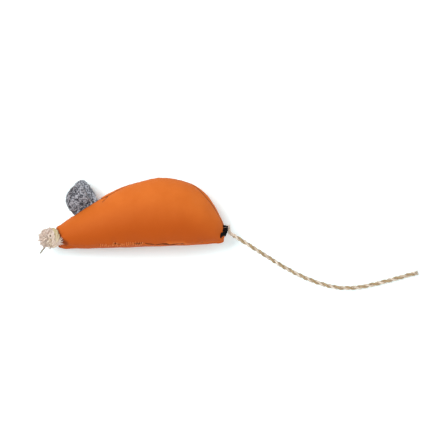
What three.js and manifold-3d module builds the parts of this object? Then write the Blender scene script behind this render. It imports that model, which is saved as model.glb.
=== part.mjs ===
// Catnip mouse: a sewn and stuffed cloth body with felt ears, a frayed rope nose and a twine tail.
// It lies on its right flank: x runs from nose to tail, y from the base to the back, z up from the surface.
import * as THREE from 'three';
import { mergeVertices } from 'three/addons/utils/BufferGeometryUtils.js';
import Module from 'manifold-3d';

const wasm = await Module();
wasm.setup();

// Driving sizes of the body, in millimetres
const bodyLength = 107.6;
const bodyHeight = 43;
const bodyThickness = 34;
const baseWidth = 18;
const baseBulge = 1.7;
const seamLine = 0.7;
const flattening = 1.8;

// Cloth, seams and clearances
const clothThickness = 0.8;
const seamGap = 0.3;
const allowance = 4;
const stitchDepth = 2.2;
const stitchPitch = 12;
const seamThreadDiameter = 0.6;
const holeGap = 0.2;
const overrun = 3;
const edgeFlat = 0.05;

// Felt ears
const earWidth = 15.8;
const earHeight = 17.4;
const feltThickness = 2;
const feltAtRoot = 1.2;
const earCup = 2.2;
const leftEarRise = 8;
const rightEarRise = 4.6;
const earSkew = 6;
const earThickening = 3;
const earStart = 10.2;
const earStagger = 3.3;
const earTabDepth = 3.8;
const earTipPower = 4;
const earTipRoundShare = 0.45;
const earCupShare = 0.8;
const earRowShare = 1.6;
const earSearchShares = [0.1, 0.5];

// Rope nose
const noseHeight = 6.6;
const noseRopeDiameter = 5;
const noseStemLength = 8;
const noseKnobDiameter = 6;
const noseWrapDiameter = 12.6;
const noseWrapRope = 4.6;
const noseWrapFront = 2.7;
const noseWrapLead = 2.4;
const noseHeadReach = 6.8;
const noseHeadDiameter = 7;
const noseFrayDiameter = 11.6;
const noseTuftLength = 4;
const noseTuftDiameter = 1.6;
const noseStray = [-12.4, -4.4, 0];
const noseWrapTurns = 1.12;
const noseWrapStart = Math.PI / 5;
const noseTuckShares = [0.08, 0.75];
const noseRaggedShare = 0.14;

// Twine tail and the thread that sews it on
const twineDiameter = 2.2;
const plyDiameter = 0.9;
const stubLength = 6.1;
const stubFoot = 5.6;
const stubEnd = 1.4;
const stubFray = 1.6;
const tackThreadDiameter = 0.6;
const tackPitch = 1.15;
const tackReach = 2.9;
const tackHeight = 3.7;
const tackLeg = 3.4;
const tackLegDepth = 2.4;
const tailFray = 2.2;
const tackBulgeShares = [0.7, 0.9];
const tackLegShare = 0.25;
const raggedShare = 0.4;

// Hand stitches that close the filling gap
const closingStart = 27.5;
const closingLength = 27.5;
const closingThreadDiameter = 0.5;
const closingBite = 1.7;
const closingHeight = 1.5;
const closingWayShares = [0.5, 0.9];

// Filling and herb
const herbCentre = [46, 17.5, 0];
const herbSize = [34, 15, 12];
const fillingMouth = [12, 17, 5];

// Sizes that follow from those above
const halfThickness = bodyThickness / 2;
const restHeight = halfThickness - flattening;
const backRise = bodyHeight - baseBulge;
const halfBase = baseWidth / 2;
const midSeam = seamGap / 2;
const slantGap = seamGap / Math.SQRT2;
const slantCloth = clothThickness * Math.SQRT2;
const finRise = allowance / Math.SQRT2;
const threadRadius = seamThreadDiameter / 2;
const tackRadius = tackThreadDiameter / 2;
const closingRadius = closingThreadDiameter / 2;
const plyRadius = plyDiameter / 2;
const twineRadius = twineDiameter / 2;
const tabOuter = midSeam + feltAtRoot;
const earAxisHeight = midSeam + feltAtRoot / 2;

// Counts
const upperSteps = 4;
const lowerSteps = 4;
const baseSteps = 4;
const threadSides = 4;
const tackLoops = 4;
const loopSteps = 18;
const loopSides = 6;
const closingLoops = 9;
const closingSteps = 10;
const frayRings = 9;
const tuftRings = 3;
const lengthSteps = 400;
const searchSteps = 40;

// Outline of the back from the front corner of the base, over the back, to the rump corner:
// shares of the body's length and of its rise above the base seam
const ridgeShares = [
  [0.005, 0],
  [0, 0.094],
  [0.001, 0.23],
  [0.013, 0.303],
  [0.097, 0.462],
  [0.246, 0.69],
  [0.391, 0.873],
  [0.535, 0.97],
  [0.627, 1],
  [0.733, 0.959],
  [0.82, 0.869],
  [0.889, 0.709],
  [0.939, 0.516],
  [0.979, 0.31],
  [0.992, 0.182],
  [0.994, 0.099],
  [0.983, 0],
];
const spanSteps = [1, 1, 1, 1, 2, 2, 2, 1, 2, 1, 1, 1, 1, 1, 1, 1];
const fanShare = 0.5;
const insetLimitShare = 0.4;
const swellShare = 0.8;
const bellyShare = 0.57;
const backRoundShare = 1.75;
const baseTurnShare = 2.2;
const baseTaperShare = 0.8;
const bulgeTaperShare = 0.25;
const cornerInsetShare = 0.4;
const restShares = [0.6223, 0.436];
const backSeamShares = [0.1, 0.87];
const rumpParameters = [0.84, 0.94];
const earMarginShare = 0.02;
const crossShare = 0.12;

// Route of the tail's free stretch, chosen along the photographed curve; its lengths are counted from
// the rear end of the body and its heights from the surface
const tailRoute = [
  [5, 3.9, 15.2],
  [12.7, -1.3, 13.4],
  [24.2, -9.2, 9.6],
  [35.6, -16.9, 5.6],
  [47.1, -23.5, 2.5],
  [58.7, -28.7, 1.3],
  [70.3, -32, 1.2],
  [82, -32.7, 1.2],
  [93.7, -31.1, 1.2],
  [105.5, -28.5, 1.2],
  [117.2, -25.7, 1.2],
  [122, -24.6, 1.6],
];
const tailSteps = 26;
const tailSides = 8;

// Turns a closed geometry into a solid whose faces point out
function solidOf(geometry) {
  const bare = geometry.clone();
  bare.deleteAttribute('normal');
  bare.deleteAttribute('uv');
  const merged = mergeVertices(bare);
  const vertProperties = new Float32Array(merged.attributes.position.array);
  const triVerts = new Uint32Array(merged.index.array);
  const solid = new wasm.Manifold(new wasm.Mesh({ numProp: 3, vertProperties, triVerts }));
  if (solid.volume() > 0) return solid;
  return new wasm.Manifold(new wasm.Mesh({ numProp: 3, vertProperties, triVerts: triVerts.reverse() }));
}

// Turns a solid back into a geometry
function geometryOf(solid) {
  const mesh = solid.getMesh();
  const geometry = new THREE.BufferGeometry();
  geometry.setAttribute('position', new THREE.BufferAttribute(mesh.vertProperties, mesh.numProp));
  geometry.setIndex(new THREE.BufferAttribute(mesh.triVerts, 1));
  return geometry;
}

// Joins solids one after another
function joined(solids) {
  return solids.reduce((sum, next) => sum.add(next));
}

// Cuts a list of solids from a solid
function cut(solid, cutters) {
  return cutters.reduce((rest, cutter) => rest.subtract(cutter), solid);
}

// Geometry from points and triangles
function meshed(points, triangles) {
  const geometry = new THREE.BufferGeometry();
  const numbers = points.flatMap((p) => [p.x, p.y, p.z]);
  geometry.setAttribute('position', new THREE.Float32BufferAttribute(numbers, 3));
  geometry.setIndex(triangles.flat());
  return geometry;
}

// Point between two points of a plane, put at a height
function raised(place, height) {
  return new THREE.Vector3(place.x, place.y, height);
}

// Closed skin through rings of points; a ring of one point is a pole, other end rings get a lid
function loft(rings) {
  const points = rings.flat();
  const starts = rings.map((ring, i) => rings.slice(0, i).reduce((sum, r) => sum + r.length, 0));
  const triangles = [];
  for (let i = 0; i + 1 < rings.length; i += 1) {
    const near = rings[i].length;
    const far = rings[i + 1].length;
    for (let j = 0; j < Math.max(near, far); j += 1) {
      const k = j + 1;
      const a = starts[i] + (j % near);
      const b = starts[i] + (k % near);
      const c = starts[i + 1] + (k % far);
      const d = starts[i + 1] + (j % far);
      if (near > 1) triangles.push([a, b, c]);
      if (far > 1) triangles.push([a, c, d]);
    }
  }
  const last = rings.length - 1;
  for (let j = 1; j + 1 < rings[0].length; j += 1) triangles.push([0, j + 1, j]);
  for (let j = 1; j + 1 < rings[last].length; j += 1) {
    triangles.push([starts[last], starts[last] + j, starts[last] + j + 1]);
  }
  return meshed(points, triangles);
}

// Curve whose parameter is used as it is, so that a tube's steps fall on its corners
class Route extends THREE.Curve {
  constructor(pointAt) {
    super();
    this.pointAt = pointAt;
  }

  getPoint(t, target = new THREE.Vector3()) {
    return target.copy(this.pointAt(t));
  }

  getUtoTmapping(u) {
    return u;
  }
}

// Route along the straight pieces between points, with a step at each point
function straightRoute(points) {
  const steps = points.length - 1;
  const curve = new Route((t) => {
    const place = Math.min(t, 1) * steps;
    const low = Math.min(Math.floor(place), steps - 1);
    return new THREE.Vector3().lerpVectors(points[low], points[low + 1], place - low);
  });
  return { curve, steps };
}

// Tube of a round section along a curve
function tube(curve, radius, sides, steps) {
  const corners = Array.from({ length: sides }, (_, i) => {
    const turn = (i / sides) * 2 * Math.PI;
    return new THREE.Vector2(radius * Math.cos(turn), radius * Math.sin(turn));
  });
  const section = new THREE.Shape(corners);
  return new THREE.ExtrudeGeometry(section, { steps, bevelEnabled: false, extrudePath: curve });
}

// Box between two corners
function boxBetween(low, high) {
  const size = new THREE.Vector3().subVectors(high, low);
  const box = new THREE.BoxGeometry(size.x, size.y, size.z);
  const centre = new THREE.Vector3().addVectors(low, high).multiplyScalar(0.5);
  return box.translate(centre.x, centre.y, centre.z);
}

// Back outline from the front corner to the rump corner
const outline = new THREE.SplineCurve(ridgeShares.map(([along, up]) => (
  new THREE.Vector2(along * bodyLength, seamLine + up * backRise)
)));
const frontCorner = outline.getPoint(0);
const rumpCorner = outline.getPoint(1);

// Spline parameters at which the body has a cross section
const parameters = spanSteps.flatMap((steps, span) => (
  Array.from({ length: steps }, (_, i) => (span + i / steps) / spanSteps.length)
));
parameters.push(1);
const lastSection = parameters.length - 1;

// Shares along the base where the sections end, so that they fan out at the nose and at the rump
function footShares() {
  const fine = 8;
  const progress = [0];
  for (let i = 1; i <= lastSection; i += 1) {
    let sum = progress[i - 1];
    for (let k = 0; k < fine; k += 1) {
      const step = (parameters[i] - parameters[i - 1]) / fine;
      const a = outline.getPoint(parameters[i - 1] + step * k);
      const b = outline.getPoint(parameters[i - 1] + step * (k + 1));
      sum += Math.abs(b.x - a.x) + fanShare * Math.abs(b.y - a.y);
    }
    progress.push(sum);
  }
  return progress.map((sum) => sum / progress[lastSection]);
}

// Half width of the base panel at a share of its length
function baseHalf(share) {
  return halfBase * Math.max(4 * share * (1 - share), 0) ** baseTaperShare;
}

// Cross sections of the body from the back seam to the base seam
const feet = footShares();
const sections = feet.map((share, i) => {
  const ridge = outline.getPoint(parameters[i]);
  const foot = new THREE.Vector2().lerpVectors(frontCorner, rumpCorner, share);
  const way = foot.clone().sub(ridge).normalize();
  const tangent = outline.getTangent(parameters[i]);
  const inward = new THREE.Vector2(tangent.y, -tangent.x);
  return { ridge, foot, way, inward, share, length: ridge.distanceTo(foot) };
});
const longest = Math.max(...sections.map((section) => section.length));
for (const section of sections) {
  section.swell = halfThickness * (section.length / longest) ** swellShare;
  section.base = Math.min(baseHalf(section.share), section.swell);
}

// Section drawn in by an inset; a short section keeps part of its length
function drawnIn(section, inset) {
  const limit = insetLimitShare * section.length;
  const atRidge = Math.min(inset / Math.max(section.way.dot(section.inward), insetLimitShare), limit);
  const atFoot = Math.min(inset / Math.max(-section.way.y, insetLimitShare), limit);
  return {
    ridge: section.ridge.clone().addScaledVector(section.way, atRidge),
    foot: section.foot.clone().addScaledVector(section.way, -atFoot),
    swell: Math.max(section.swell - inset, (1 - insetLimitShare) * section.swell),
    base: Math.max(section.base - cornerInsetShare * inset, (1 - insetLimitShare) * section.base),
    width: section.base,
  };
}

// Height of a flank over the middle plane at a share of the way from the back seam to the base seam
function flankHeight(section, share) {
  if (share <= bellyShare) {
    const rest = 1 - share / bellyShare;
    return section.swell * (1 - rest ** backRoundShare) ** (1 / backRoundShare);
  }
  const past = (share - bellyShare) / (1 - bellyShare);
  return section.swell - (section.swell - section.base) * past ** baseTurnShare;
}

const flankShares = [
  ...Array.from({ length: upperSteps }, (_, j) => (
    bellyShare * (1 - Math.cos((j / upperSteps) * (Math.PI / 2)) ** (2 / backRoundShare))
  )),
  ...Array.from({ length: lowerSteps + 1 }, (_, j) => bellyShare + (1 - bellyShare) * (j / lowerSteps)),
];

// Point of a flank; the right flank, side -1, is pressed flat where it lies on the surface
function flankPoint(section, share, side, inset) {
  const place = new THREE.Vector2().lerpVectors(section.ridge, section.foot, share);
  const height = flankHeight(section, share);
  const pressed = side < 0 ? Math.min(height, restHeight - inset) : height;
  return new THREE.Vector3(place.x, place.y, side * pressed);
}

// Point of the base panel at a share across it, from the left seam, 1, to the right seam, -1
function basePoint(section, across) {
  const sag = baseBulge * (section.width / halfBase) ** bulgeTaperShare * (1 - across * across);
  return new THREE.Vector3(section.foot.x, section.foot.y - sag, across * section.base);
}

// Tip of the body's form, moved in from the corner where the seams meet
function formTip(corner, section, inset) {
  if (inset === 0) return new THREE.Vector3(corner.x, corner.y, 0);
  const middle = section.ridge.clone().add(section.foot).multiplyScalar(0.5);
  middle.lerp(corner, insetLimitShare);
  return new THREE.Vector3(middle.x, middle.y, 0);
}

// Solid of the whole body's form, drawn in by an inset
function bodySolid(inset) {
  const inner = sections.slice(1, -1).map((section) => drawnIn(section, inset));
  const rings = inner.map((section) => {
    const left = flankShares.map((share) => flankPoint(section, share, 1, inset));
    const base = Array.from({ length: baseSteps - 1 }, (_, k) => (
      basePoint(section, 1 - (2 * (k + 1)) / baseSteps)
    ));
    const right = flankShares.slice(1).reverse().map((share) => flankPoint(section, share, -1, inset));
    return [...left, ...base, ...right];
  });
  const front = formTip(frontCorner, inner[0], inset);
  const rear = formTip(rumpCorner, inner[inner.length - 1], inset);
  return solidOf(loft([[front], ...rings, [rear]]));
}

// Wedge over the base whose slanted sides run inwards from the base seams at 45 degrees
function baseWedge(offset, rise) {
  const span = rumpCorner.x - frontCorner.x;
  const seamPlaces = feet.map((share) => frontCorner.x + span * share);
  const places = [frontCorner.x - overrun, ...seamPlaces, rumpCorner.x + overrun];
  const rings = places.map((x) => {
    const half = Math.max(baseHalf((x - frontCorner.x) / span) + offset, edgeFlat - overrun / 2);
    const top = Math.min(rise, half - edgeFlat);
    const low = seamLine - overrun;
    return [
      new THREE.Vector3(x, low, half + overrun),
      new THREE.Vector3(x, low, -half - overrun),
      new THREE.Vector3(x, seamLine + top, -(half - top)),
      new THREE.Vector3(x, seamLine + top, half - top),
    ];
  });
  return solidOf(loft(rings));
}

// Flat band along the back seam, from outside the ridge to a depth inside it
function ridgeBand(depth, low, high) {
  const outer = sections.map((section) => section.ridge.clone().addScaledVector(section.inward, -overrun));
  const inner = sections.map((section) => drawnIn(section, depth).ridge);
  const band = new THREE.Shape([...outer, ...inner.reverse()]);
  const slab = new THREE.ExtrudeGeometry(band, { depth: high - low, bevelEnabled: false });
  return solidOf(slab.translate(0, 0, low));
}

// Half space above or below the middle plane, kept half a seam gap away from it
function sideSpace(side) {
  const low = new THREE.Vector3(-bodyLength, -bodyLength, midSeam);
  const high = new THREE.Vector3(2 * bodyLength, bodyLength, bodyLength);
  const box = boxBetween(low, high);
  return solidOf(side > 0 ? box : box.rotateX(Math.PI));
}

// Root line of the ears: a chord of the back outline, with the outline's rise over it
function ridgeParameter(x) {
  let [low, high] = earSearchShares;
  for (let i = 0; i < searchSteps; i += 1) {
    const middle = (low + high) / 2;
    if (outline.getPoint(middle).x < x) low = middle;
    else high = middle;
  }
  return low;
}

function earRoot(start) {
  const from = ridgeParameter(start);
  const a = outline.getPoint(from);
  const slope = outline.getPoint(ridgeParameter(start + earWidth / 2)).sub(a).normalize();
  const to = ridgeParameter(a.x + earWidth * slope.x);
  const b = outline.getPoint(to);
  const along = b.clone().sub(a).normalize();
  const out = new THREE.Vector2(-along.y, along.x);
  const steps = 12;
  const rises = Array.from({ length: steps + 1 }, (_, i) => (
    outline.getPoint(from + (to - from) * (i / steps)).sub(a).dot(out)
  ));
  const rise = Math.max(...rises, 0);
  const middle = a.clone().add(b).multiplyScalar(0.5).addScaledVector(out, rise);
  return { along, out, middle, from, to, ends: a.distanceTo(b) };
}

const leftRoot = earRoot(earStart);
const rightRoot = earRoot(earStart + earStagger * leftRoot.along.x);

// Point in a root's own axes: along the root, out from the ridge and up from the middle plane
function rootPoint(root, along, out, height) {
  const place = root.middle.clone().addScaledVector(root.along, along).addScaledVector(root.out, out);
  return raised(place, height);
}

// Felt blade of an ear: rows from the root to the tip, each a ring over its outer and inner face
const earRows = 10;
const earColumns = 6;
const earTipShare = 0.995;
const earRowShares = Array.from({ length: earRows + 1 }, (_, r) => (
  earTipShare * (1 - (1 - r / earRows) ** earRowShare)
));
const earColumnShares = Array.from({ length: earColumns + 1 }, (_, c) => (2 * c) / earColumns - 1);

const bladeAtRoot = feltAtRoot - 2 * edgeFlat;

function earBlade(root, side, tipRise) {
  const axis = seamGap + feltAtRoot / 2;
  const reach = Math.sqrt(earHeight ** 2 - tipRise ** 2);
  const rings = earRowShares.map((share) => {
    const half = (earWidth / 2) * (1 - share ** earTipPower) ** earTipRoundShare;
    const skew = earSkew * share ** earTipPower;
    const thickened = Math.min((share * earHeight) / earThickening, 1);
    const thick = bladeAtRoot + (feltThickness - bladeAtRoot) * thickened;
    const face = (across, way) => {
      const lift = tipRise * share + earCup * share ** earCupShare * across * across;
      const height = earAxisHeight + lift + (way * thick) / 2;
      return rootPoint(root, skew + across * half, axis + reach * share, side * height);
    };
    const outer = earColumnShares.map((across) => face(across, 1));
    const inner = earColumnShares.map((across) => face(-across, -1));
    return [...outer, ...inner];
  });
  return solidOf(loft(rings)).add(rootBead(root, side));
}

// Rounded edge of the felt where it folds over its root line
function rootBead(root, side) {
  const bead = feltAtRoot / 2;
  const half = earWidth / 2 - seamGap;
  const turn = side * earAxisHeight;
  const ends = [-half, half].map((along) => rootPoint(root, along, seamGap + bead, turn));
  const route = new THREE.LineCurve3(ends[0], ends[1]);
  return solidOf(tube(route, bead, 8, 1));
}

// Tab of the ear that is caught in the back seam
function earTab(root, side, extra) {
  const half = root.ends / 2 - seamGap + extra;
  const low = -earTabDepth - extra;
  const near = side * (midSeam - extra);
  const far = side * (tabOuter + extra);
  const corners = (height) => [
    rootPoint(root, -half, extra, height),
    rootPoint(root, half, extra, height),
    rootPoint(root, half - earTabDepth / 2, low, height),
    rootPoint(root, -half + earTabDepth / 2, low, height),
  ];
  return solidOf(loft([corners(near), corners(far)]));
}

// Share of the way along the back outline of a parameter of its spline
function lengthShare(parameter) {
  const lengths = outline.getLengths(lengthSteps);
  const place = parameter * lengthSteps;
  const low = Math.floor(place);
  const high = Math.min(low + 1, lengthSteps);
  return (lengths[low] + (lengths[high] - lengths[low]) * (place - low)) / lengths[lengthSteps];
}

// Running stitch through a pair of layers: it lies on one side for a stitch, crosses and lies on the other
function stitchHeight(phase) {
  const part = phase % 1;
  if (part < 0.5 - crossShare) return 1;
  if (part < 0.5) return 1 - (2 * (part - 0.5 + crossShare)) / crossShare;
  if (part < 1 - crossShare) return -1;
  return -1 + (2 * (part - 1 + crossShare)) / crossShare;
}

// Corners of a running stitch fall at these parts of each whole stitch
const stitchParts = [0, 0.5 - crossShare, 0.5, 1 - crossShare];

function stitchRoute(count, pointAt) {
  const phases = [];
  for (let i = 0; i < count; i += 1) phases.push(...stitchParts.map((part) => i + part));
  phases.push(count);
  return straightRoute(phases.map((phase) => pointAt(phase / count, stitchHeight(phase))));
}

// Thread of the back seam, from above the nose to above the tail; it swings wider past the ears
const backInset = new THREE.SplineCurve(sections.map((section) => drawnIn(section, stitchDepth).ridge));
const [backFrom, backTo] = backSeamShares;
const earFrom = lengthShare(Math.min(leftRoot.from, rightRoot.from));
const earTo = lengthShare(Math.max(leftRoot.to, rightRoot.to));
const seamSwing = midSeam + clothThickness + seamGap + threadRadius;
const earSwing = tabOuter + seamGap + clothThickness + seamGap + threadRadius;

function backThreadRoute() {
  const count = Math.round(((backTo - backFrom) * backInset.getLength()) / stitchPitch);
  return stitchRoute(count, (share, side) => {
    const at = backFrom + (backTo - backFrom) * share;
    const place = backInset.getPointAt(at);
    const byEars = at > earFrom - earMarginShare && at < earTo + earMarginShare;
    return raised(place, side * (byEars ? earSwing : seamSwing));
  });
}

// Point on the slanted allowances of a base seam: depth runs into the body, across runs through the layers
function baseSeamPoint(x, depth, across, side) {
  const half = baseHalf((x - frontCorner.x) / (rumpCorner.x - frontCorner.x));
  const inward = depth / Math.SQRT2;
  const through = across / Math.SQRT2;
  return new THREE.Vector3(x, seamLine + inward + through, side * (half - inward + through));
}

const baseSwing = midSeam + clothThickness + seamGap + threadRadius;

function baseThreadRoute(from, to, side) {
  const count = Math.round((to - from) / stitchPitch);
  return stitchRoute(count, (share, way) => (
    baseSeamPoint(from + (to - from) * share, stitchDepth, way * baseSwing, side)
  ));
}

// Hand stitches over the edge of the left base seam
function closingRoute() {
  const steps = closingLoops * closingSteps;
  const curve = new Route((t) => {
    const turn = t * closingLoops * 2 * Math.PI;
    const depth = closingBite * (closingWayShares[0] - closingWayShares[1] * Math.cos(turn));
    return baseSeamPoint(closingStart + closingLength * t, depth, closingHeight * Math.sin(turn), 1);
  });
  return { curve, steps };
}

// Axes of the rump edge where the tail is sewn on: a chord of the outline, moved out to clear it
const [rumpTop, rumpEnd] = rumpParameters;
const rumpLow = outline.getPoint(rumpEnd);
const rumpHigh = outline.getPoint(rumpTop);
const rumpUp = rumpHigh.clone().sub(rumpLow).normalize();
const rumpOut = new THREE.Vector2(rumpUp.y, -rumpUp.x);
const rumpRises = Array.from({ length: searchSteps + 1 }, (_, i) => (
  outline.getPoint(rumpTop + (rumpEnd - rumpTop) * (i / searchSteps)).sub(rumpLow).dot(rumpOut)
));
const plyInner = seamGap + plyRadius;
const plyThread = plyInner + plyRadius + seamGap + tackRadius;
const plyOuter = plyThread + tackRadius + seamGap + plyRadius;
const rumpFoot = rumpLow.clone()
  .addScaledVector(rumpUp, (stubFoot - rumpLow.y) / rumpUp.y)
  .addScaledVector(rumpOut, Math.max(...rumpRises));

function rumpPoint(up, out, height) {
  const place = rumpFoot.clone().addScaledVector(rumpUp, up).addScaledVector(rumpOut, out);
  return raised(place, height);
}

// Winding that binds the inner ply of the twine to the rump edge; its first end runs down and into the cloth
const tackSpan = tackLoops * tackPitch;
const tackStart = (stubLength - tackSpan) / 2;
const legSteps = 6;

function tackRoute() {
  const centre = (plyThread - tackReach) / 2;
  const half = (plyThread + tackReach) / 2;
  const [bulge, lean] = tackBulgeShares;
  const loop = (turns) => {
    const turn = (turns + 1 / 4) * 2 * Math.PI;
    const swing = Math.cos(turn);
    const rise = Math.abs(Math.sin(turn)) ** bulge * (1 - lean * swing);
    const height = tackHeight * rise * Math.sign(Math.sin(turn));
    return rumpPoint(tackStart + tackPitch * turns, centre + half * swing, height);
  };
  const loops = Array.from({ length: tackLoops * loopSteps + 1 }, (_, i) => loop(i / loopSteps));
  const legEnd = rumpPoint(tackStart - tackLeg, centre - tackLegShare * tackLeg, tackLegDepth);
  const leg = Array.from({ length: legSteps }, (_, i) => {
    const share = (i + 1) / legSteps;
    const point = loops[0].clone().lerp(legEnd, share);
    point.z += tackThreadDiameter * Math.sin(share * Math.PI);
    return point;
  });
  return straightRoute([...leg.reverse(), ...loops]);
}

// Least distance between different turns of a winding, less its thread
function leastGap({ curve, steps }, turnSteps, diameter) {
  const points = Array.from({ length: steps + 1 }, (_, i) => curve.getPoint(i / steps));
  let least = Infinity;
  for (let i = 0; i < points.length; i += 1) {
    for (let j = i + Math.round(turnSteps / 2); j < points.length; j += 1) {
      least = Math.min(least, points[i].distanceTo(points[j]));
    }
  }
  return least - diameter;
}

// Uneven share between 0 and 1 for a strand
function unevenShare(strand) {
  const phase = 4 * Math.PI + 1 / 3;
  return (1 + Math.sin(strand * phase)) / 2;
}

// Frayed end: pointed strands on the alternate faces of a dome, fanned out from a centre
function frayedEnd({ centre, axis, rings, root, reach, spread, ragged, stray }) {
  const up = new THREE.Vector3(0, 0, 1);
  const frame = new THREE.Quaternion().setFromUnitVectors(up, axis.clone().normalize());
  const aim = (polar, around) => new THREE.Vector3(
    Math.sin(polar) * Math.cos(around),
    Math.sin(polar) * Math.sin(around),
    Math.cos(polar),
  ).applyQuaternion(frame);
  const rows = Array.from({ length: rings + 1 }, (_, k) => (
    Array.from({ length: Math.max(6 * k, 1) }, (__, m) => (
      aim((k / rings) * spread, (m / Math.max(6 * k, 1)) * 2 * Math.PI).multiplyScalar(root).add(centre)
    ))
  ));
  const points = rows.flat();
  const start = (k) => (k === 0 ? 0 : 1 + 3 * k * (k - 1));
  const at = (k, m) => start(k) + (k === 0 ? 0 : m % (6 * k));
  const triangles = [];
  let strands = 0;
  let strayFace = null;
  const strandOn = (face) => {
    const middle = face.reduce((sum, i) => sum.add(points[i]), new THREE.Vector3()).divideScalar(3);
    const way = middle.clone().sub(centre).normalize();
    const length = reach * (1 - ragged * unevenShare(strands));
    strands += 1;
    points.push(centre.clone().addScaledVector(way, length));
    const tip = points.length - 1;
    if (stray) {
      const nearness = way.dot(stray.clone().sub(centre).normalize());
      if (!strayFace || nearness > strayFace.nearness) strayFace = { nearness, tip };
    }
    triangles.push([face[0], face[1], tip], [face[1], face[2], tip], [face[2], face[0], tip]);
  };
  for (let k = 1; k <= rings; k += 1) {
    for (let sector = 0; sector < 6; sector += 1) {
      for (let m = 0; m < k; m += 1) {
        const outer = sector * k + m;
        const inner = sector * (k - 1) + m;
        strandOn([at(k - 1, inner), at(k, outer), at(k, outer + 1)]);
        if (m > 0) triangles.push([at(k - 1, inner - 1), at(k, outer), at(k - 1, inner)]);
      }
    }
  }
  if (strayFace) points[strayFace.tip].copy(stray);
  points.push(centre.clone().addScaledVector(axis.clone().normalize(), -root / 2));
  const back = points.length - 1;
  for (let m = 0; m < 6 * rings; m += 1) triangles.push([at(rings, m), back, at(rings, m + 1)]);
  return { solid: solidOf(meshed(points, triangles)), strands };
}

// Stem and knob of the nose's rope, widened by a gap where they make room for it
function noseStem(gap) {
  const from = new THREE.Vector3(-noseHeadReach, noseHeight, 0);
  const to = new THREE.Vector3(noseStemLength, noseHeight, 0);
  const stem = tube(new THREE.LineCurve3(from, to), noseRopeDiameter / 2 + gap, 8, 1);
  const knob = new THREE.SphereGeometry(noseKnobDiameter / 2 + gap, 8, 6);
  return solidOf(stem).add(solidOf(knob.translate(to.x, to.y, to.z)));
}

// Rope nose: a stem through the front seam, a knob inside, one wrapped turn and the frayed end
function noseKnot() {
  const wrapRadius = (noseWrapDiameter - noseWrapRope) / 2;
  const [tuckedPart, tuck] = noseTuckShares;
  const wrap = new Route((t) => {
    const turn = t * noseWrapTurns * 2 * Math.PI + noseWrapStart;
    const radius = wrapRadius * (Math.min(t, 1 - t) < tuckedPart ? tuck : 1);
    const height = noseHeight + radius * Math.cos(turn);
    return new THREE.Vector3(-noseWrapFront - noseWrapLead * t, height, radius * Math.sin(turn));
  });
  const head = frayedEnd({
    centre: new THREE.Vector3(-noseHeadReach, noseHeight, 0),
    axis: new THREE.Vector3(-1, 0, 0),
    rings: frayRings,
    root: noseHeadDiameter / 2,
    reach: noseFrayDiameter / 2,
    spread: Math.PI / 2,
    ragged: noseRaggedShare,
    stray: new THREE.Vector3(...noseStray),
  });
  const tuft = frayedEnd({
    centre: new THREE.Vector3(-noseWrapFront, noseHeight - wrapRadius, noseWrapRope / 2),
    axis: new THREE.Vector3(noseTuftLength, -noseTuftDiameter / 2, noseTuftDiameter),
    rings: tuftRings,
    root: noseTuftDiameter,
    reach: noseTuftLength,
    spread: Math.PI / 3,
    ragged: raggedShare,
  });
  const rope = tube(wrap, noseWrapRope / 2, 8, 16);
  return {
    solid: joined([noseStem(0), solidOf(rope), head.solid, tuft.solid]),
    strands: head.strands + tuft.strands,
  };
}

// Sewn end of the twine: its two plies part round the black thread and meet above and below it
function tailStub() {
  const ply = (out) => new THREE.LineCurve3(rumpPoint(0, out, 0), rumpPoint(stubLength, out, 0));
  const inner = solidOf(tube(ply(plyInner), plyRadius, 6, 1));
  const outer = solidOf(tube(ply(plyOuter), plyRadius, 6, 1));
  const middle = (plyInner + plyOuter) / 2;
  const joint = (up) => {
    const ball = new THREE.SphereGeometry(1, 8, 4);
    const at = rumpPoint(up, middle, 0);
    ball.scale((plyOuter - plyInner + plyDiameter) / 2, stubEnd / 2, stubEnd / 2);
    return solidOf(ball.rotateZ(rumpUp.angle() - Math.PI / 2).translate(at.x, at.y, at.z));
  };
  const fray = frayedEnd({
    centre: rumpPoint(stubLength, middle, 0),
    axis: new THREE.Vector3(rumpUp.x, rumpUp.y, 0),
    rings: 2,
    root: stubEnd / 2,
    reach: stubFray,
    spread: Math.PI / 2.5,
    ragged: raggedShare,
  });
  const bend = new THREE.CatmullRomCurve3([
    rumpPoint(0, middle, 0),
    rumpPoint(-twineRadius, (middle + plyOuter) / 2, 0),
    tailStart.clone().addScaledVector(tailAim, -seamGap - twineDiameter),
    tailStart.clone().addScaledVector(tailAim, -seamGap),
  ]);
  const foot = solidOf(tube(bend, twineRadius, tailSides, 4));
  return joined([inner, outer, joint(0), joint(stubLength), fray.solid, foot]);
}

// Tail: the free stretch, with its frayed tip
const tailPoints = tailRoute.map(([x, y, z]) => new THREE.Vector3(bodyLength + x, y, z - restHeight));
const tailCurve = new THREE.CatmullRomCurve3(tailPoints);
const tailStart = tailPoints[0];
const tailAim = tailCurve.getTangent(0);

function tailCord() {
  const cord = solidOf(tube(tailCurve, twineRadius, tailSides, tailSteps));
  const tip = frayedEnd({
    centre: tailPoints[tailPoints.length - 1],
    axis: tailCurve.getTangent(1),
    rings: tuftRings,
    root: twineRadius - plyRadius / 2,
    reach: tailFray,
    spread: Math.PI / 5,
    ragged: raggedShare,
  });
  return cord.add(tip.solid);
}

// Herb wad and the hollow that it fills, open through the filling gap
function herbShape(gap) {
  const wad = new THREE.SphereGeometry(1, 12, 8);
  wad.scale(...herbSize.map((size) => size / 2 + gap));
  return solidOf(wad.translate(...herbCentre));
}

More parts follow.
